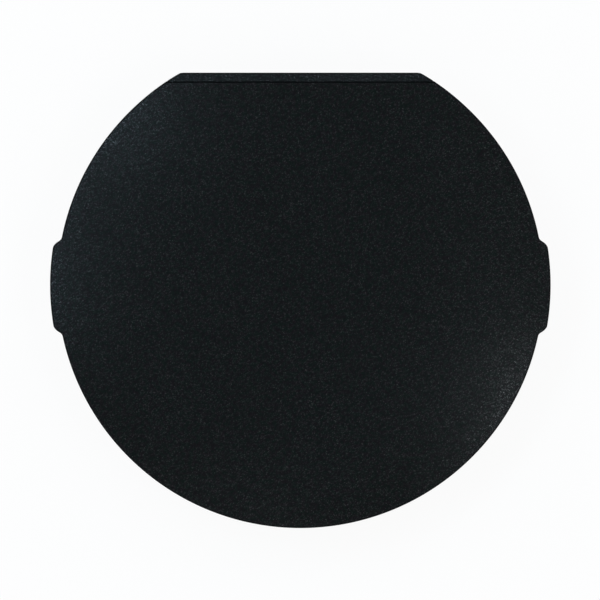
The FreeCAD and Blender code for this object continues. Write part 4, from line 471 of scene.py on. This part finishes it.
def knob_surfaces(origin, radius, disc, grip, width):
    """Knob, seen from the front: a fluted disc and a waisted grip bar. The disc's radius dips by a cosine of
    30 times the angle. The bar's section is a rounded oblong (powers of cosine and sine) whose sides are
    drawn in by the square of the distance from its ends, carried outwards and rounded over at its top."""
    hollow, skin, edge, dish = 3.2 * MM, 1.6 * MM, 1.2 * MM, 0.35 * MM
    flutes, flute_depth, flute_foot, steps = 30, 0.35 * MM, 0.4 * MM, 360
    turn = np.linspace(0, np.pi / 2, 7)
    profile = [(0, hollow), (radius - skin, hollow), (radius - skin, 0), (radius, 0), (radius, disc - edge)]
    profile += list(zip(radius - edge + edge * np.cos(turn), disc - edge + edge * np.sin(turn)))
    profile += [(radius * share, disc - dish * (1 - share)) for share in (0.8, 0.6, 0.4, 0.2, 0)]
    shell = turned(profile, (0, 0, 0), steps=steps)
    out, height = np.hypot(shell[..., 0], shell[..., 2]), -shell[..., 1]
    flute = flute_depth * (0.5 - 0.5 * np.cos(flutes * whole_turn(steps)))
    flute = flute * (height > flute_foot) * (out > radius * 0.95)
    shell[..., [0, 2]] *= (1 - flute / np.maximum(out, 1e-9))[..., None]
    round_off, sunk, inside, waist, bar_steps = 1.4 * edge, 0.3 * MM, 1.0 * MM, 0.84, 144
    lean_long, lean_wide, power_long, power_wide = 0.6 * MM, 0.5 * MM, 0.45, 0.55
    rise = np.concatenate([[0, 0.5], 1 - round_off / grip * (1 - np.sin(turn))])[:, None]
    inset = np.concatenate([[0, 0], round_off * (1 - np.cos(turn))])[:, None]
    cosine, sine, _ = spokes(whole_turn(bar_steps)).T
    along = np.sign(sine) * np.abs(sine) ** power_long
    across = np.sign(cosine) * np.abs(cosine) ** power_wide * (waist + (1 - waist) * along ** 2)
    long = radius - inside - lean_long * rise - inset
    wide = width / 2 - lean_wide * rise - inset
    depth = sunk - disc - (grip + sunk) * rise
    bar = np.stack(np.broadcast_arrays(across * wide, depth, along * long), axis=-1)
    brim, crown = bar[-1], np.broadcast_to(bar[-1].mean(axis=0), bar[-1].shape)
    lid = np.stack([brim, (brim - crown) * [0.5, 1, 0.5] + crown, crown])
    return [(grid + origin, False, True) for grid in (shell, bar, lid)]


def slab(outline, origin, right, up):
    """A thin closed plate with this outline, standing out of a face: side wall, front and back."""
    outline = np.asarray(outline)
    flat = origin + outline[:, :1] * right + outline[:, 1:] * up
    out = np.cross(right, up) * PRINT
    return capped(np.stack([flat - out, flat + out]))


def bar_outline(width, height, low):
    """Corners of an upright bar that starts at a height above the origin."""
    return [(-width / 2, low), (width / 2, low), (width / 2, low + height), (-width / 2, low + height)]


def ring_mark(radius, stroke, origin, right, up):
    """A flat ring standing out of a face: an oblong section carried round a circle."""
    steps = 64
    spoke = spokes(whole_turn(steps))
    side = spoke[:, :1] * right + spoke[:, 1:2] * up
    section = bar_outline(stroke, 2 * PRINT, -PRINT)
    return [(swept(section, origin + side * radius, side, np.cross(right, up)), True, True)]


def lettering(text, size, origin):
    """Raised print on the panel's face: the words as a mesh, upright and facing the front."""
    curve = bpy.data.curves.new("lettering", "FONT")
    curve.body, curve.size, curve.extrude = text, size, PRINT
    curve.align_x, curve.align_y = "CENTER", "CENTER"
    holder = bpy.data.objects.new("lettering", curve)
    mesh = bpy.data.meshes.new_from_object(holder)
    bpy.data.objects.remove(holder)
    flat = np.empty(len(mesh.vertices) * 3)
    mesh.vertices.foreach_get("co", flat)
    across, rise, out = flat.reshape(-1, 3).T
    mesh.vertices.foreach_set("co", (np.column_stack([across, -out, rise]) + origin).ravel())
    mesh.update()
    return mesh


# Finishes

class Reading:
    """A value that varies over a surface. Sums with it add the finish's Math nodes."""

    def __init__(self, finish, socket):
        self.finish, self.socket = finish, socket

    def __add__(self, other):
        return self.finish.math("ADD", self, other)

    def __sub__(self, other):
        return self.finish.math("SUBTRACT", self, other)

    def __rsub__(self, other):
        return self.finish.math("SUBTRACT", other, self)

    def __mul__(self, other):
        return self.finish.math("MULTIPLY", self, other)

    def __pow__(self, other):
        return self.finish.math("POWER", self, other)

    __radd__ = __add__
    __rmul__ = __mul__


class Finish:
    """A material or world and the nodes that draw it from a piece's own coordinates, in metres."""

    def __init__(self, name, family="materials"):
        self.block = getattr(bpy.data, family).new(name)
        self.block.use_nodes = True
        self.nodes = self.block.node_tree.nodes
        self.nodes.clear()

    @functools.cached_property
    def place(self):
        """The piece's own coordinates."""
        return self.add("ShaderNodeTexCoord", output="Object")

    def add(self, kind, inputs=(), output=0, **settings):
        """A node of any type, its settings first, then its sockets' values or links, and one output."""
        node = self.nodes.new(kind)
        for key, value in settings.items():
            setattr(node, key, value)
        for key, value in dict(inputs).items():
            if isinstance(value, Reading):
                self.block.node_tree.links.new(value.socket, node.inputs[key])
            else:
                node.inputs[key].default_value = value
        return Reading(self, node.outputs[output]) if node.outputs else None

    def math(self, operation, *values):
        """A Math node."""
        return self.add("ShaderNodeMath", dict(enumerate(values)), operation=operation)

    def scaled(self, scale):
        """The piece's coordinates multiplied by one number or by one for each axis."""
        scale = scale if isinstance(scale, tuple) else (scale,) * 3
        return self.add("ShaderNodeVectorMath", {0: self.place, 1: scale}, operation="MULTIPLY")

    def noise(self, scale, detail=2, roughness=0.5):
        """Cloudy noise from 0 to 1, with so many lumps to the metre."""
        inputs = {"Vector": self.scaled(scale), "Scale": 1, "Detail": detail, "Roughness": roughness}
        return self.add("ShaderNodeTexNoise", inputs)

    def rings(self, radius, scale, detail):
        """Noise over the radius alone, with so many rings to the metre."""
        return self.add("ShaderNodeTexNoise", {"W": radius * scale, "Detail": detail}, noise_dimensions="1D")

    def flecks(self, scale, output):
        """Cells, so many to the metre: their Distance or their random Color."""
        return self.add("ShaderNodeTexVoronoi", {"Vector": self.scaled(scale), "Scale": 1}, output)

    def specks(self, scale, channel, rarity, rim, core):
        """Specks, so many to the metre: a cell's random number to the power of rarity, times a fall from the
        core's radius to the rim's."""
        return (self.part(self.flecks(scale, "Color"), channel) ** rarity
                * self.ease(self.flecks(scale, "Distance"), rim, core))

    def part(self, vector, axis):
        """One axis of a vector, or one channel of a colour."""
        return self.add("ShaderNodeSeparateXYZ", {0: vector}, axis)

    def disc_axes(self):
        """Distances to the right of the disc's axis and behind it."""
        return self.part(self.place, 0), self.part(self.place, 1) - DISC_Y

    def from_axis(self):
        """Distance from the disc's axis."""
        x, y = self.disc_axes()
        return (x * x + y * y) ** 0.5

    def ease(self, value, low, high):
        """0 below low, 1 above high and a smooth rise between. Low may be above high."""
        return self.add("ShaderNodeMapRange", {"Value": value, "From Min": low, "From Max": high},
                        interpolation_type="SMOOTHSTEP")

    def blend(self, amount, first, second):
        """From the first colour at 0 to the second at 1."""
        ends = [c if isinstance(c, Reading) else (*c, 1.0) for c in (first, second)]
        return self.add("ShaderNodeMix", {0: amount, 6: ends[0], 7: ends[1]}, 2, data_type="RGBA")

    def tones(self, amount, tint, low, high):
        """From one share of a colour at 0 to another share of it at 1."""
        return self.blend(amount, *([min(1.0, c * share) for c in tint] for share in (low, high)))

    def seen(self):
        """1 for what the camera sees, also in mirrors and through glass, and 0 for what lights a surface."""
        most = 0.0
        for kind in ("Camera", "Glossy", "Transmission"):
            ray = self.add("ShaderNodeLightPath", output="Is %s Ray" % kind)
            most = self.math("MAXIMUM", most, ray)
        return most

    def mixed_end(self, kind, amount, first, second):
        """Ends the finish with a mix of two shaders."""
        self.add(kind, {"Surface": self.add("ShaderNodeMixShader", {0: amount, 1: first, 2: second})})
        return self.block

    def surface(self, tint, rough, relief=None, depth=0.0, **others):
        """Ends the finish with a surface of this colour and roughness, a relief from 0 to 1 that is so many
        millimetres deep, and other sockets by name, with their spaces as underscores."""
        inputs = {key.replace("_", " ").title().replace("Ior", "IOR"): value for key, value in others.items()}
        if relief:
            inputs["Normal"] = self.add("ShaderNodeBump",
                                        {"Height": relief, "Distance": depth * MM, "Strength": 1})
        inputs.update({"Base Color": tint, "Roughness": rough})
        self.add("ShaderNodeOutputMaterial", {"Surface": self.add("ShaderNodeBsdfPrincipled", inputs)})
        return self.block


def coated_casting(colours, groove_y):
    """Griddle plate: dark blue-black coat above, with fine pale flecks and a faint drift between green and
    plum, painted shade that darkens the coat in the groove, and bare sandy casting below."""
    f = Finish("flecked_coat")
    bright, spark = f.specks(2300, 0, 9, 0.8, 0.4), f.specks(2000, 1, 30, 0.6, 0.3)
    fleck = bright * 0.10 + spark * 0.30 + 0.004 * f.noise(1500)
    (red, green, blue), tint = colours.coat, colours.drift
    shade = f.blend(f.ease(f.noise(330, 1), 0.3, 0.7), (red + tint, green - tint, blue),
                    (red - tint, green + tint, blue))
    coat = f.blend(fleck * (0.8 + 0.4 * f.noise(22, 3)), shade, colours.fleck)
    sand = f.noise(60, 5, 0.65)
    stain = f.ease(f.noise(14, 4), 0.42, 0.72) * 0.35
    bare = f.blend(stain, f.tones(sand, colours.cast, 0.8, 1.15), (0.28, 0.25, 0.21))
    depth = PLATE_TOP - f.part(f.place, 2)
    under = f.ease(depth, 5.2 * MM, 5.6 * MM)
    aside = f.math("ABSOLUTE", f.part(f.place, 1) - groove_y)
    # Painted shade: this groove mask darkens the coat inside the groove, where shade falls; it also roughens
    # the coat and takes its gloss away there.
    groove = f.ease(aside, 0.44 * MM, 0.34 * MM) * f.ease(depth, 0.05 * MM, 0.4 * MM)
    # Colour of the painted shade in the groove.
    coat = f.blend(groove, coat, (0.0022, 0.0027, 0.0028))
    rough = 0.22 * (1 - under) + (0.52 + 0.1 * sand) * under + 0.6 * groove
    gloss = (0.012 + 0.38 * bright + 1.1 * spark) * ((1 - under) * (1 - groove))
    grain = f.noise(900, 4, 0.6) * 0.6 + f.noise(2600) * 0.4
    return f.surface(f.blend(under, coat, bare), rough, grain, 0.02, metallic=under * 0.85,
                     specular_ior_level=0.02, coat_weight=gloss, coat_roughness=0.15)


def black_grain(colours):
    """Housing mouldings: near-black plastic with a fine leathery grain."""
    f = Finish("grained_moulding")
    grain = f.flecks(1400, "Distance") * 0.6 + f.noise(700, 3) * 0.4
    return f.surface(f.tones(f.noise(9, 3), colours.moulding, 0.85, 1.25), 0.46 + 0.12 * grain, grain, 0.04)


def satin_black():
    """Knob and switch: smoother satin black plastic."""
    f = Finish("satin_moulding")
    haze = f.noise(160, 4)
    return f.surface(f.blend(haze, (0.012, 0.012, 0.013), (0.019, 0.019, 0.020)), 0.26 + 0.12 * haze,
                     f.noise(1900), 0.01)


def smooth_plain(name, tint, rough):
    """Inlet moulding and printed ink: one plain smooth tone."""
    f = Finish(name)
    haze = f.noise(90, 4)
    return f.surface(f.tones(haze, tint, 0.8, 1.2), rough + 0.12 * haze, f.noise(1500), 0.01)


def rubber():
    """Feet: matt black rubber with dust in its pores."""
    f = Finish("foot_rubber_matt")
    pores = f.noise(1200, 3, 0.7)
    dust = f.ease(f.noise(70, 4), 0.5, 0.8) * 0.5
    return f.surface(f.blend(dust, (0.014, 0.014, 0.014), (0.045, 0.043, 0.040)), 0.78 + 0.15 * pores,
                     pores, 0.06)


def plated():
    """Screws, rod, rivets and spring: plated steel with a fine grain and faint yellow patches."""
    f = Finish("zinc_plate")
    patch = f.noise(120, 3)
    shade = f.blend(f.ease(f.noise(55), 0.55, 0.75) * 0.3, f.tones(patch, (0.66, 0.67, 0.68), 0.75, 1),
                    (0.62, 0.60, 0.46))
    return f.surface(shade, 0.26 + 0.14 * patch, f.noise(2200), 0.006, metallic=1)


def rolled_sheet():
    """Folded brackets and strips: rolled sheet with faint lines along it and dull spots."""
    f = Finish("rolled_steel")
    lines = f.noise((60, 1800, 1800), 3)
    spots = f.ease(f.noise(180, 4), 0.55, 0.8)
    return f.surface(f.tones(spots * 0.6, (0.52, 0.52, 0.53), 1, 0.6), 0.34 + 0.18 * spots + 0.08 * lines,
                     lines, 0.01, metallic=1)


def stove_paint():
    """Hinge brackets: black satin paint with orange peel and thin edges of wear."""
    f = Finish("bracket_paint")
    worn = f.ease(f.noise(300, 5, 0.7), 0.66, 0.76) * 0.4
    return f.surface(f.blend(worn, (0.020, 0.020, 0.021), (0.10, 0.10, 0.10)), 0.38 + 0.15 * f.noise(90, 3),
                     f.noise(650), 0.03)


def brushed_wall():
    """Drum: stainless sheet brushed round its axis. The lines are noise over height with a slow drift over
    the angle about the axis."""
    f = Finish("brushed_wall")
    x, y = f.disc_axes()
    angle, height = f.math("ARCTAN2", y, x), f.part(f.place, 2)
    fine, broad = (f.add("ShaderNodeTexNoise", {
        "Vector": f.add("ShaderNodeCombineXYZ", {0: angle * slow, 1: height * close}),
        "Scale": 1, "Detail": detail}) for slow, close, detail in ((6, 5200, 3), (2, 900, 2)))
    lines = fine * 0.6 + broad * 0.4
    mark = f.ease(f.noise(16, 4), 0.55, 0.8)
    return f.surface(f.blend(lines, (0.44, 0.445, 0.45), (0.66, 0.665, 0.67)),
                     0.24 + 0.14 * fine + 0.08 * mark, lines, 0.012, metallic=1)


def bright_dish():
    """Reflector: bright aluminised sheet, spun round its axis, with straw and blue heat tint by the loops."""
    f = Finish("reflector_bright")
    radius = f.from_axis()
    near_loop = f.ease(radius, 0.045, 0.062) * f.ease(radius, 0.118, 0.098)
    rings, patch = f.rings(radius, 2600, 3), f.noise(26, 4, 0.6)
    straw = f.blend(f.ease(patch, 0.45, 0.7), (0.74, 0.66, 0.50), (0.50, 0.52, 0.62))
    shade = f.blend(near_loop * (0.25 + 0.5 * patch), (0.74, 0.745, 0.75), straw)
    return f.surface(shade, 0.17 + 0.12 * rings + 0.12 * patch, rings * 0.5 + patch * 0.5, 0.02, metallic=1)


def oxidised_sheath():
    """Heating element: dark olive oxide with pale and brownish patches."""
    f = Finish("element_oxide")
    fine = f.noise(700, 3)
    shade = f.blend(f.ease(f.noise(45, 5, 0.6), 0.35, 0.7), (0.045, 0.044, 0.038), (0.11, 0.10, 0.085))
    shade = f.blend(f.ease(f.noise(28, 3), 0.6, 0.75) * 0.5, shade, (0.10, 0.065, 0.04))
    return f.surface(shade, 0.42 + 0.2 * fine, fine, 0.03, metallic=0.7)


def fired_ceramic():
    """Bushes and pads: cream fired ceramic with small dark specks."""
    f = Finish("fired_ceramic")
    cloud = f.noise(120, 4)
    shade = f.blend(cloud, (0.66, 0.62, 0.53), (0.76, 0.72, 0.64))
    shade = f.blend(f.specks(900, 0, 14, 0.5, 0.2) * 0.5, shade, (0.25, 0.20, 0.15))
    return f.surface(shade, 0.34 + 0.2 * cloud, f.noise(800, 3), 0.03)


def turned_face():
    """Sensor cap: face turned in a lathe, with fine rings about its own axis, which is the disc's."""
    f = Finish("sensor_face")
    rings = f.rings(f.from_axis(), 6500, 2)
    return f.surface(f.tones(f.noise(90, 3), (0.76, 0.76, 0.77), 0.8, 1), 0.28 + 0.15 * rings, rings, 0.01,
                     metallic=1)


def soft_metal(name, bright, dull, rough):
    """Brass and copper: bright metal with darker tarnish in patches."""
    f = Finish(name)
    patch = f.ease(f.noise(140, 5, 0.6), 0.4, 0.75)
    return f.surface(f.blend(patch, bright, dull), rough + 0.2 * patch, f.noise(1600), 0.01, metallic=1)


def clear(name, tint, glow):
    """Lamp glass and lens plastic: clear body of one tint, a touch cloudy."""
    f = Finish(name)
    haze = f.noise(400, 3)
    return f.surface(f.tones(haze, tint, 1, 1.15), 0.08 + 0.1 * haze, transmission_weight=0.75, ior=1.49,
                     emission_color=(*glow, 1.0), emission_strength=0.05)


def sleeve(name, tint, stripe=None):
    """Wire: silicone sleeve with a soft mottle, and a second colour in stripes where it has one."""
    f = Finish(name)
    mottle = f.noise(500, 3)
    shade = f.tones(mottle, tint, 0.85, 1.15)
    if stripe:
        shade = f.blend(f.ease(f.noise((260, 60, 900), 1), 0.48, 0.54), shade, stripe)
    return f.surface(shade, 0.42 + 0.15 * mottle, mottle, 0.02)


def make_finishes(colours, plate):
    """A finish for each of the record's material slots, and one for printed marks."""
    groove_y = DISC_Y + plate.radius - plate.rear_cut - plate.groove_inset
    return {
        "cast_plate": coated_casting(colours, groove_y),
        "bright_steel": plated(),
        "plain_steel": rolled_sheet(),
        "dark_steel": stove_paint(),
        "brushed_drum": brushed_wall(),
        "black_moulding": black_grain(colours),
        "knob_moulding": satin_black(),
        "ceramic": fired_ceramic(),
        "element_sheath": oxidised_sheath(),
        "reflector_sheet": bright_dish(),
        "sensor_aluminium": turned_face(),
        "brass_contact": soft_metal("contact_brass", (0.78, 0.60, 0.27), (0.45, 0.32, 0.14), 0.25),
        "lamp_glass": clear("lamp_clear", (0.92, 0.84, 0.74), (0.9, 0.5, 0.2)),
        "inlet_moulding": smooth_plain("inlet_smooth", (0.020, 0.020, 0.021), 0.32),
        "copper_tube": soft_metal("drawn_copper", (0.80, 0.42, 0.26), (0.42, 0.20, 0.12), 0.28),
        "foot_rubber": rubber(),
        "red_lens": clear("lens_red", (0.70, 0.03, 0.02), (0.6, 0.02, 0.01)),
        "green_lens": clear("lens_green", (0.05, 0.55, 0.10), (0.02, 0.5, 0.05)),
        "brown_wire": sleeve("sleeve_brown", (0.14, 0.06, 0.03)),
        "blue_wire": sleeve("sleeve_blue", (0.04, 0.13, 0.42)),
        "green_wire": sleeve("sleeve_green", (0.12, 0.38, 0.05), (0.72, 0.62, 0.05)),
        "printed_marks": smooth_plain("printed_ink", colours.ink, 0.45),
    }


def room_light(fill):
    """World: white to the camera, to mirrors and through glass, and an even dimmer light on surfaces."""
    f = Finish("room", "worlds")
    dim, white = (f.add("ShaderNodeBackground", {"Color": (1, 1, 1, 1), "Strength": strength})
                  for strength in (fill, 1))
    return f.mixed_end("ShaderNodeOutputWorld", f.seen(), dim, white)


def white_floor():
    """Matt white floor that the camera, mirrors and glass see as nearly white, with the soft shadow kept."""
    f = Finish("white_floor")
    tooth = f.blend(f.noise(40, 3), (0.86,) * 3, (0.88,) * 3)
    matt = f.add("ShaderNodeBsdfDiffuse", {"Color": tooth})
    glow = f.add("ShaderNodeEmission", {"Color": (1, 1, 1, 1), "Strength": 1})
    return f.mixed_end("ShaderNodeOutputMaterial", f.seen() * 0.9, matt, glow)


# Operators

class CREPE_OT_stage(bpy.types.Operator):
    """White floor, soft lamps, room light and a camera straight above the plate"""
    bl_idname = "crepe.stage"
    bl_label = "Stage"

    def execute(self, context):
        settings, scene = context.scene.crepe_stage, context.scene
        camera = bpy.data.cameras.new("overhead_camera")
        camera.sensor_width = 36.0
        camera.lens = camera.sensor_width * settings.camera_height / settings.view_width
        camera.clip_end = 50.0
        scene.camera = put("overhead_camera", camera,
                           (-settings.aside, settings.aside, PLATE_TOP + settings.camera_height))
        blue, pale = (0.60, 0.82, 1.0), (0.86, 0.94, 1.0)
        for name, x, y, width, depth, tint in (
                ("corner", -0.305, 0.31, 0.22, 0.22, blue), ("left", -0.42, 0.10, 0.22, 0.30, blue),
                ("right", 0.36, -0.18, 0.23, 0.23, pale), ("far", 0.34, 0.20, 0.30, 0.40, pale),
                ("near", -0.12, -0.34, 0.30, 0.20, pale), ("rear", 0.04, 0.47, 0.60, 0.16, blue)):
            lamp = bpy.data.lights.new(name + "_lamp", "AREA")
            lamp.energy, lamp.color = getattr(settings, name + "_power"), tint
            lamp.shape, lamp.size, lamp.size_y = "RECTANGLE", width, depth
            put(name + "_lamp", lamp, (x, y, settings.lamp_height))
        scene.world = room_light(settings.fill)
        floor = bpy.data.meshes.new("floor")
        span, drop = 4.0, -0.05 * MM
        floor.from_pydata([(x * span, y * span, drop) for x, y in ((-1, -1), (1, -1), (1, 1), (-1, 1))], [],
                          [(0, 1, 2, 3)])
        floor.materials.append(white_floor())
        put("floor", floor)
        scene.view_settings.view_transform = "Standard"
        return {"FINISHED"}


class CREPE_OT_finishes(bpy.types.Operator):
    """Gives every built node the finish of its material slot"""
    bl_idname = "crepe.finishes"
    bl_label = "Finishes"

    def execute(self, context):
        finishes.update(make_finishes(context.scene.crepe_colours, context.scene.crepe_plate))
        for part in frame["record"]["subparts"]:
            materials = frame["nodes"][part["node"]].data.materials
            materials.clear()
            materials.append(finishes[part["material_slot"]])
        return {"FINISHED"}


class CREPE_OT_plate(bpy.types.Operator):
    """Griddle plate with its lugs, groove, rim and rib"""
    bl_idname = "crepe.plate"
    bl_label = "Griddle plate"

    def execute(self, context):
        sizes = context.scene.crepe_plate
        surfaces = plate_surfaces(sizes) + rim_surfaces(sizes) + rib_surfaces(sizes)
        add_piece("griddle_plate", surfaces, "plate", "cast_plate", "cooking_plate")
        return {"FINISHED"}


class CREPE_OT_hooks(bpy.types.Operator):
    """The two cast hooks that hold the plate on the hinge rod, with rounded edges"""
    bl_idname = "crepe.hooks"
    bl_label = "Plate hooks"

    def execute(self, context):
        sizes = context.scene.crepe_hooks
        surfaces = hook_surfaces(sizes, context.scene.crepe_plate.thickness)
        hooks = add_piece("plate_hooks", surfaces, "plate", "cast_plate")
        bevel = hooks.modifiers.new("rounded_edges", "BEVEL")
        bevel.width, bevel.segments, bevel.limit_method = sizes.edge_round, 3, "ANGLE"
        return {"FINISHED"}


class CREPE_OT_spring(bpy.types.Operator):
    """Coil spring under the sensor cap, with no body of its own"""
    bl_idname = "crepe.spring"
    bl_label = "Sensor spring"

    def execute(self, context):
        node = "sensor_spring"
        low, centre, high = corners(node)
        surfaces = spring_surfaces(context.scene.crepe_spring, low, centre, high)
        spring = add_piece("dressed_" + node, surfaces, None, "bright_steel", node, crease=50)
        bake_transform(spring)
        return {"FINISHED"}


class CREPE_OT_feet(bpy.types.Operator):
    """Rubber feet, each a turned cone with a screw recess and three rings cut in its sole"""
    bl_idname = "crepe.feet"
    bl_label = "Feet"

    def execute(self, context):
        sizes = context.scene.crepe_feet
        soften, wide = 0.4 * MM, sizes.groove_width
        for node in ("rear_right_foot", "rear_left_foot", "front_left_foot", "front_right_foot"):
            low, centre, high = corners(node)
            brim, top = (high[0] - low[0]) / 2, high[2] - low[2]
            toe = brim - sizes.taper
            profile = [(sizes.hole, top), (sizes.hole, sizes.recess), (sizes.sink, sizes.recess),
                       (sizes.sink, 0)]
            for ring in sizes.sink + sizes.groove_step * np.arange(1, 4):
                profile += [(ring - wide / 2, 0), (ring - wide / 4, sizes.groove),
                            (ring + wide / 4, sizes.groove), (ring + wide / 2, 0)]
            profile += [(toe - soften, 0), (toe, soften), (brim, top)]
            grid = turned(profile, (*centre[:2], low[2]), UP)
            add_piece("dressed_" + node, [(grid, True, True)], "base", "foot_rubber", node)
        return {"FINISHED"}


class CREPE_OT_knob(bpy.types.Operator):
    """Thermostat knob with a waisted grip and a pale pointer line"""
    bl_idname = "crepe.knob"
    bl_label = "Knob"

    def execute(self, context):
        sizes = context.scene.crepe_controls
        low, (x, _, z), high = corners("knob")
        grip = high[1] - low[1] - sizes.knob_disc
        surfaces = knob_surfaces((x, high[1], z), sizes.knob_radius, sizes.knob_disc, grip, sizes.grip_width)
        add_piece("dressed_knob", surfaces, "knob_body", "knob_moulding", "knob", crease=40)
        outline = bar_outline(width=1.1 * MM, height=8.0 * MM, low=2.5 * MM)
        line = slab(outline, (x, low[1] + PRINT / 2, z), RIGHT, UP)
        add_piece("knob_pointer", line, "knob_body", "printed_marks")
        return {"FINISHED"}


class CREPE_OT_dial(bpy.types.Operator):
    """Heat marks round the knob: a stroke and a number every 54 degrees, and OFF at the top"""
    bl_idname = "crepe.dial"
    bl_label = "Dial marks"

    def execute(self, context):
        radius = context.scene.crepe_controls.knob_radius
        x, _, z = corners("knob")[1]
        origin, strokes = np.array([x, PANEL_FACE, z]), []
        outline = bar_outline(width=0.5 * MM, height=1.3 * MM, low=radius + 0.7 * MM)
        text_radius = radius + 3.5 * MM
        for step in range(6):
            turn = math.radians(54 * step)
            up = np.array([math.sin(turn), 0, math.cos(turn)])
            right = np.array([math.cos(turn), 0, -math.sin(turn)])
            strokes += slab(outline, origin, right, up)
            text, name, size = (str(step), "dial_number_%d" % step, 2.3) if step else ("OFF", "dial_off", 1.9)
            mesh = lettering(text, size * MM, origin + up * text_radius)
            add_mesh(name, mesh, "base", "printed_marks")
        add_piece("dial_strokes", strokes, "base", "printed_marks")
        return {"FINISHED"}


class CREPE_OT_switch_marks(bpy.types.Operator):
    """The I and O marks on the two halves of the switch's rocker"""
    bl_idname = "crepe.switch_marks"
    bl_label = "Switch marks"

    def execute(self, context):
        sizes = context.scene.crepe_controls
        tilt, crest, out = sizes.rocker_tilt, 2.2 * MM, 4.2 * MM
        low, (x, _, _), _ = corners("switch_rocker")
        crease = np.array([x, low[1] + sizes.rocker_reach - crest * math.cos(tilt),
                           corners("knob")[1][2] + crest * math.sin(tilt)])
        slope = np.array([0, math.sin(2 * tilt), math.cos(2 * tilt)])
        outline = bar_outline(width=0.5 * MM, height=2.8 * MM, low=-1.4 * MM)
        marks = ring_mark(1.25 * MM, 0.45 * MM, crease + UP * out, RIGHT, UP)
        marks += slab(outline, crease - slope * out, RIGHT, slope)
        add_piece("switch_marks", marks, "rocker", "printed_marks")
        return {"FINISHED"}


class CREPE_OT_lenses(bpy.types.Operator):
    """Domed lamp lenses with a turned bezel step"""
    bl_idname = "crepe.lenses"
    bl_label = "Lamp lenses"

    def execute(self, context):
        turn = np.linspace(0, np.pi / 2, 17)
        for node, slot in (("power_lens", "red_lens"), ("ready_lens", "green_lens")):
            low, (x, _, z), high = corners(node)
            radius, dome, back = (high[0] - low[0]) / 2, PANEL_FACE - low[1], PANEL_FACE - high[1]
            stem, crown, bezel = radius - 0.85 * MM, radius - 0.4 * MM, dome * 0.25
            profile = [(0, back), (stem, back), (stem, 0), (radius, 0), (radius, bezel)]
            profile += list(zip(crown * np.cos(turn), bezel + (dome - bezel) * np.sin(turn)))
            grid = turned(profile, (x, PANEL_FACE, z))
            add_piece("dressed_" + node, [(grid, False, True)], "base", slot, node, crease=50)
        return {"FINISHED"}


class CREPE_PT_panel(bpy.types.Panel):
    """Lists the crepe maker's pieces and their sizes"""
    bl_idname = "CREPE_PT_panel"
    bl_label = "Crepe maker"
    bl_space_type = "VIEW_3D"
    bl_region_type = "UI"
    bl_category = "Crepe maker"

    def draw(self, context):
        column = self.layout.column()
        for operator in OPERATORS:
            column.operator(operator.bl_idname)
        for group, name in GROUPS.items():
            for key in group.__annotations__:
                column.prop(getattr(context.scene, name), key)


OPERATORS = (CREPE_OT_stage, CREPE_OT_finishes, CREPE_OT_plate, CREPE_OT_hooks, CREPE_OT_spring,
             CREPE_OT_feet, CREPE_OT_knob, CREPE_OT_dial, CREPE_OT_switch_marks, CREPE_OT_lenses)
GROUPS = {CrepePlateSizes: "crepe_plate", CrepeHookSizes: "crepe_hooks", CrepeSpringSizes: "crepe_spring",
          CrepeFootSizes: "crepe_feet", CrepeControlSizes: "crepe_controls",
          CrepeFinishColours: "crepe_colours", CrepeStageSettings: "crepe_stage"}


def register():
    """Registers the groups, the operators and the panel."""
    for group, name in GROUPS.items():
        bpy.utils.register_class(group)
        setattr(bpy.types.Scene, name, bpy.props.PointerProperty(type=group))
    for shown in OPERATORS + (CREPE_PT_panel,):
        bpy.utils.register_class(shown)


def unregister():
    """Takes away what register put in."""
    for shown in (CREPE_PT_panel,) + OPERATORS[::-1]:
        bpy.utils.unregister_class(shown)
    for group, name in GROUPS.items():
        delattr(bpy.types.Scene, name)
        bpy.utils.unregister_class(group)


def main():
    """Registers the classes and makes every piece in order."""
    register()
    for operator in OPERATORS:
        family, name = operator.bl_idname.split(".")
        getattr(getattr(bpy.ops, family), name)()


if __name__ == "__main__":
    main()
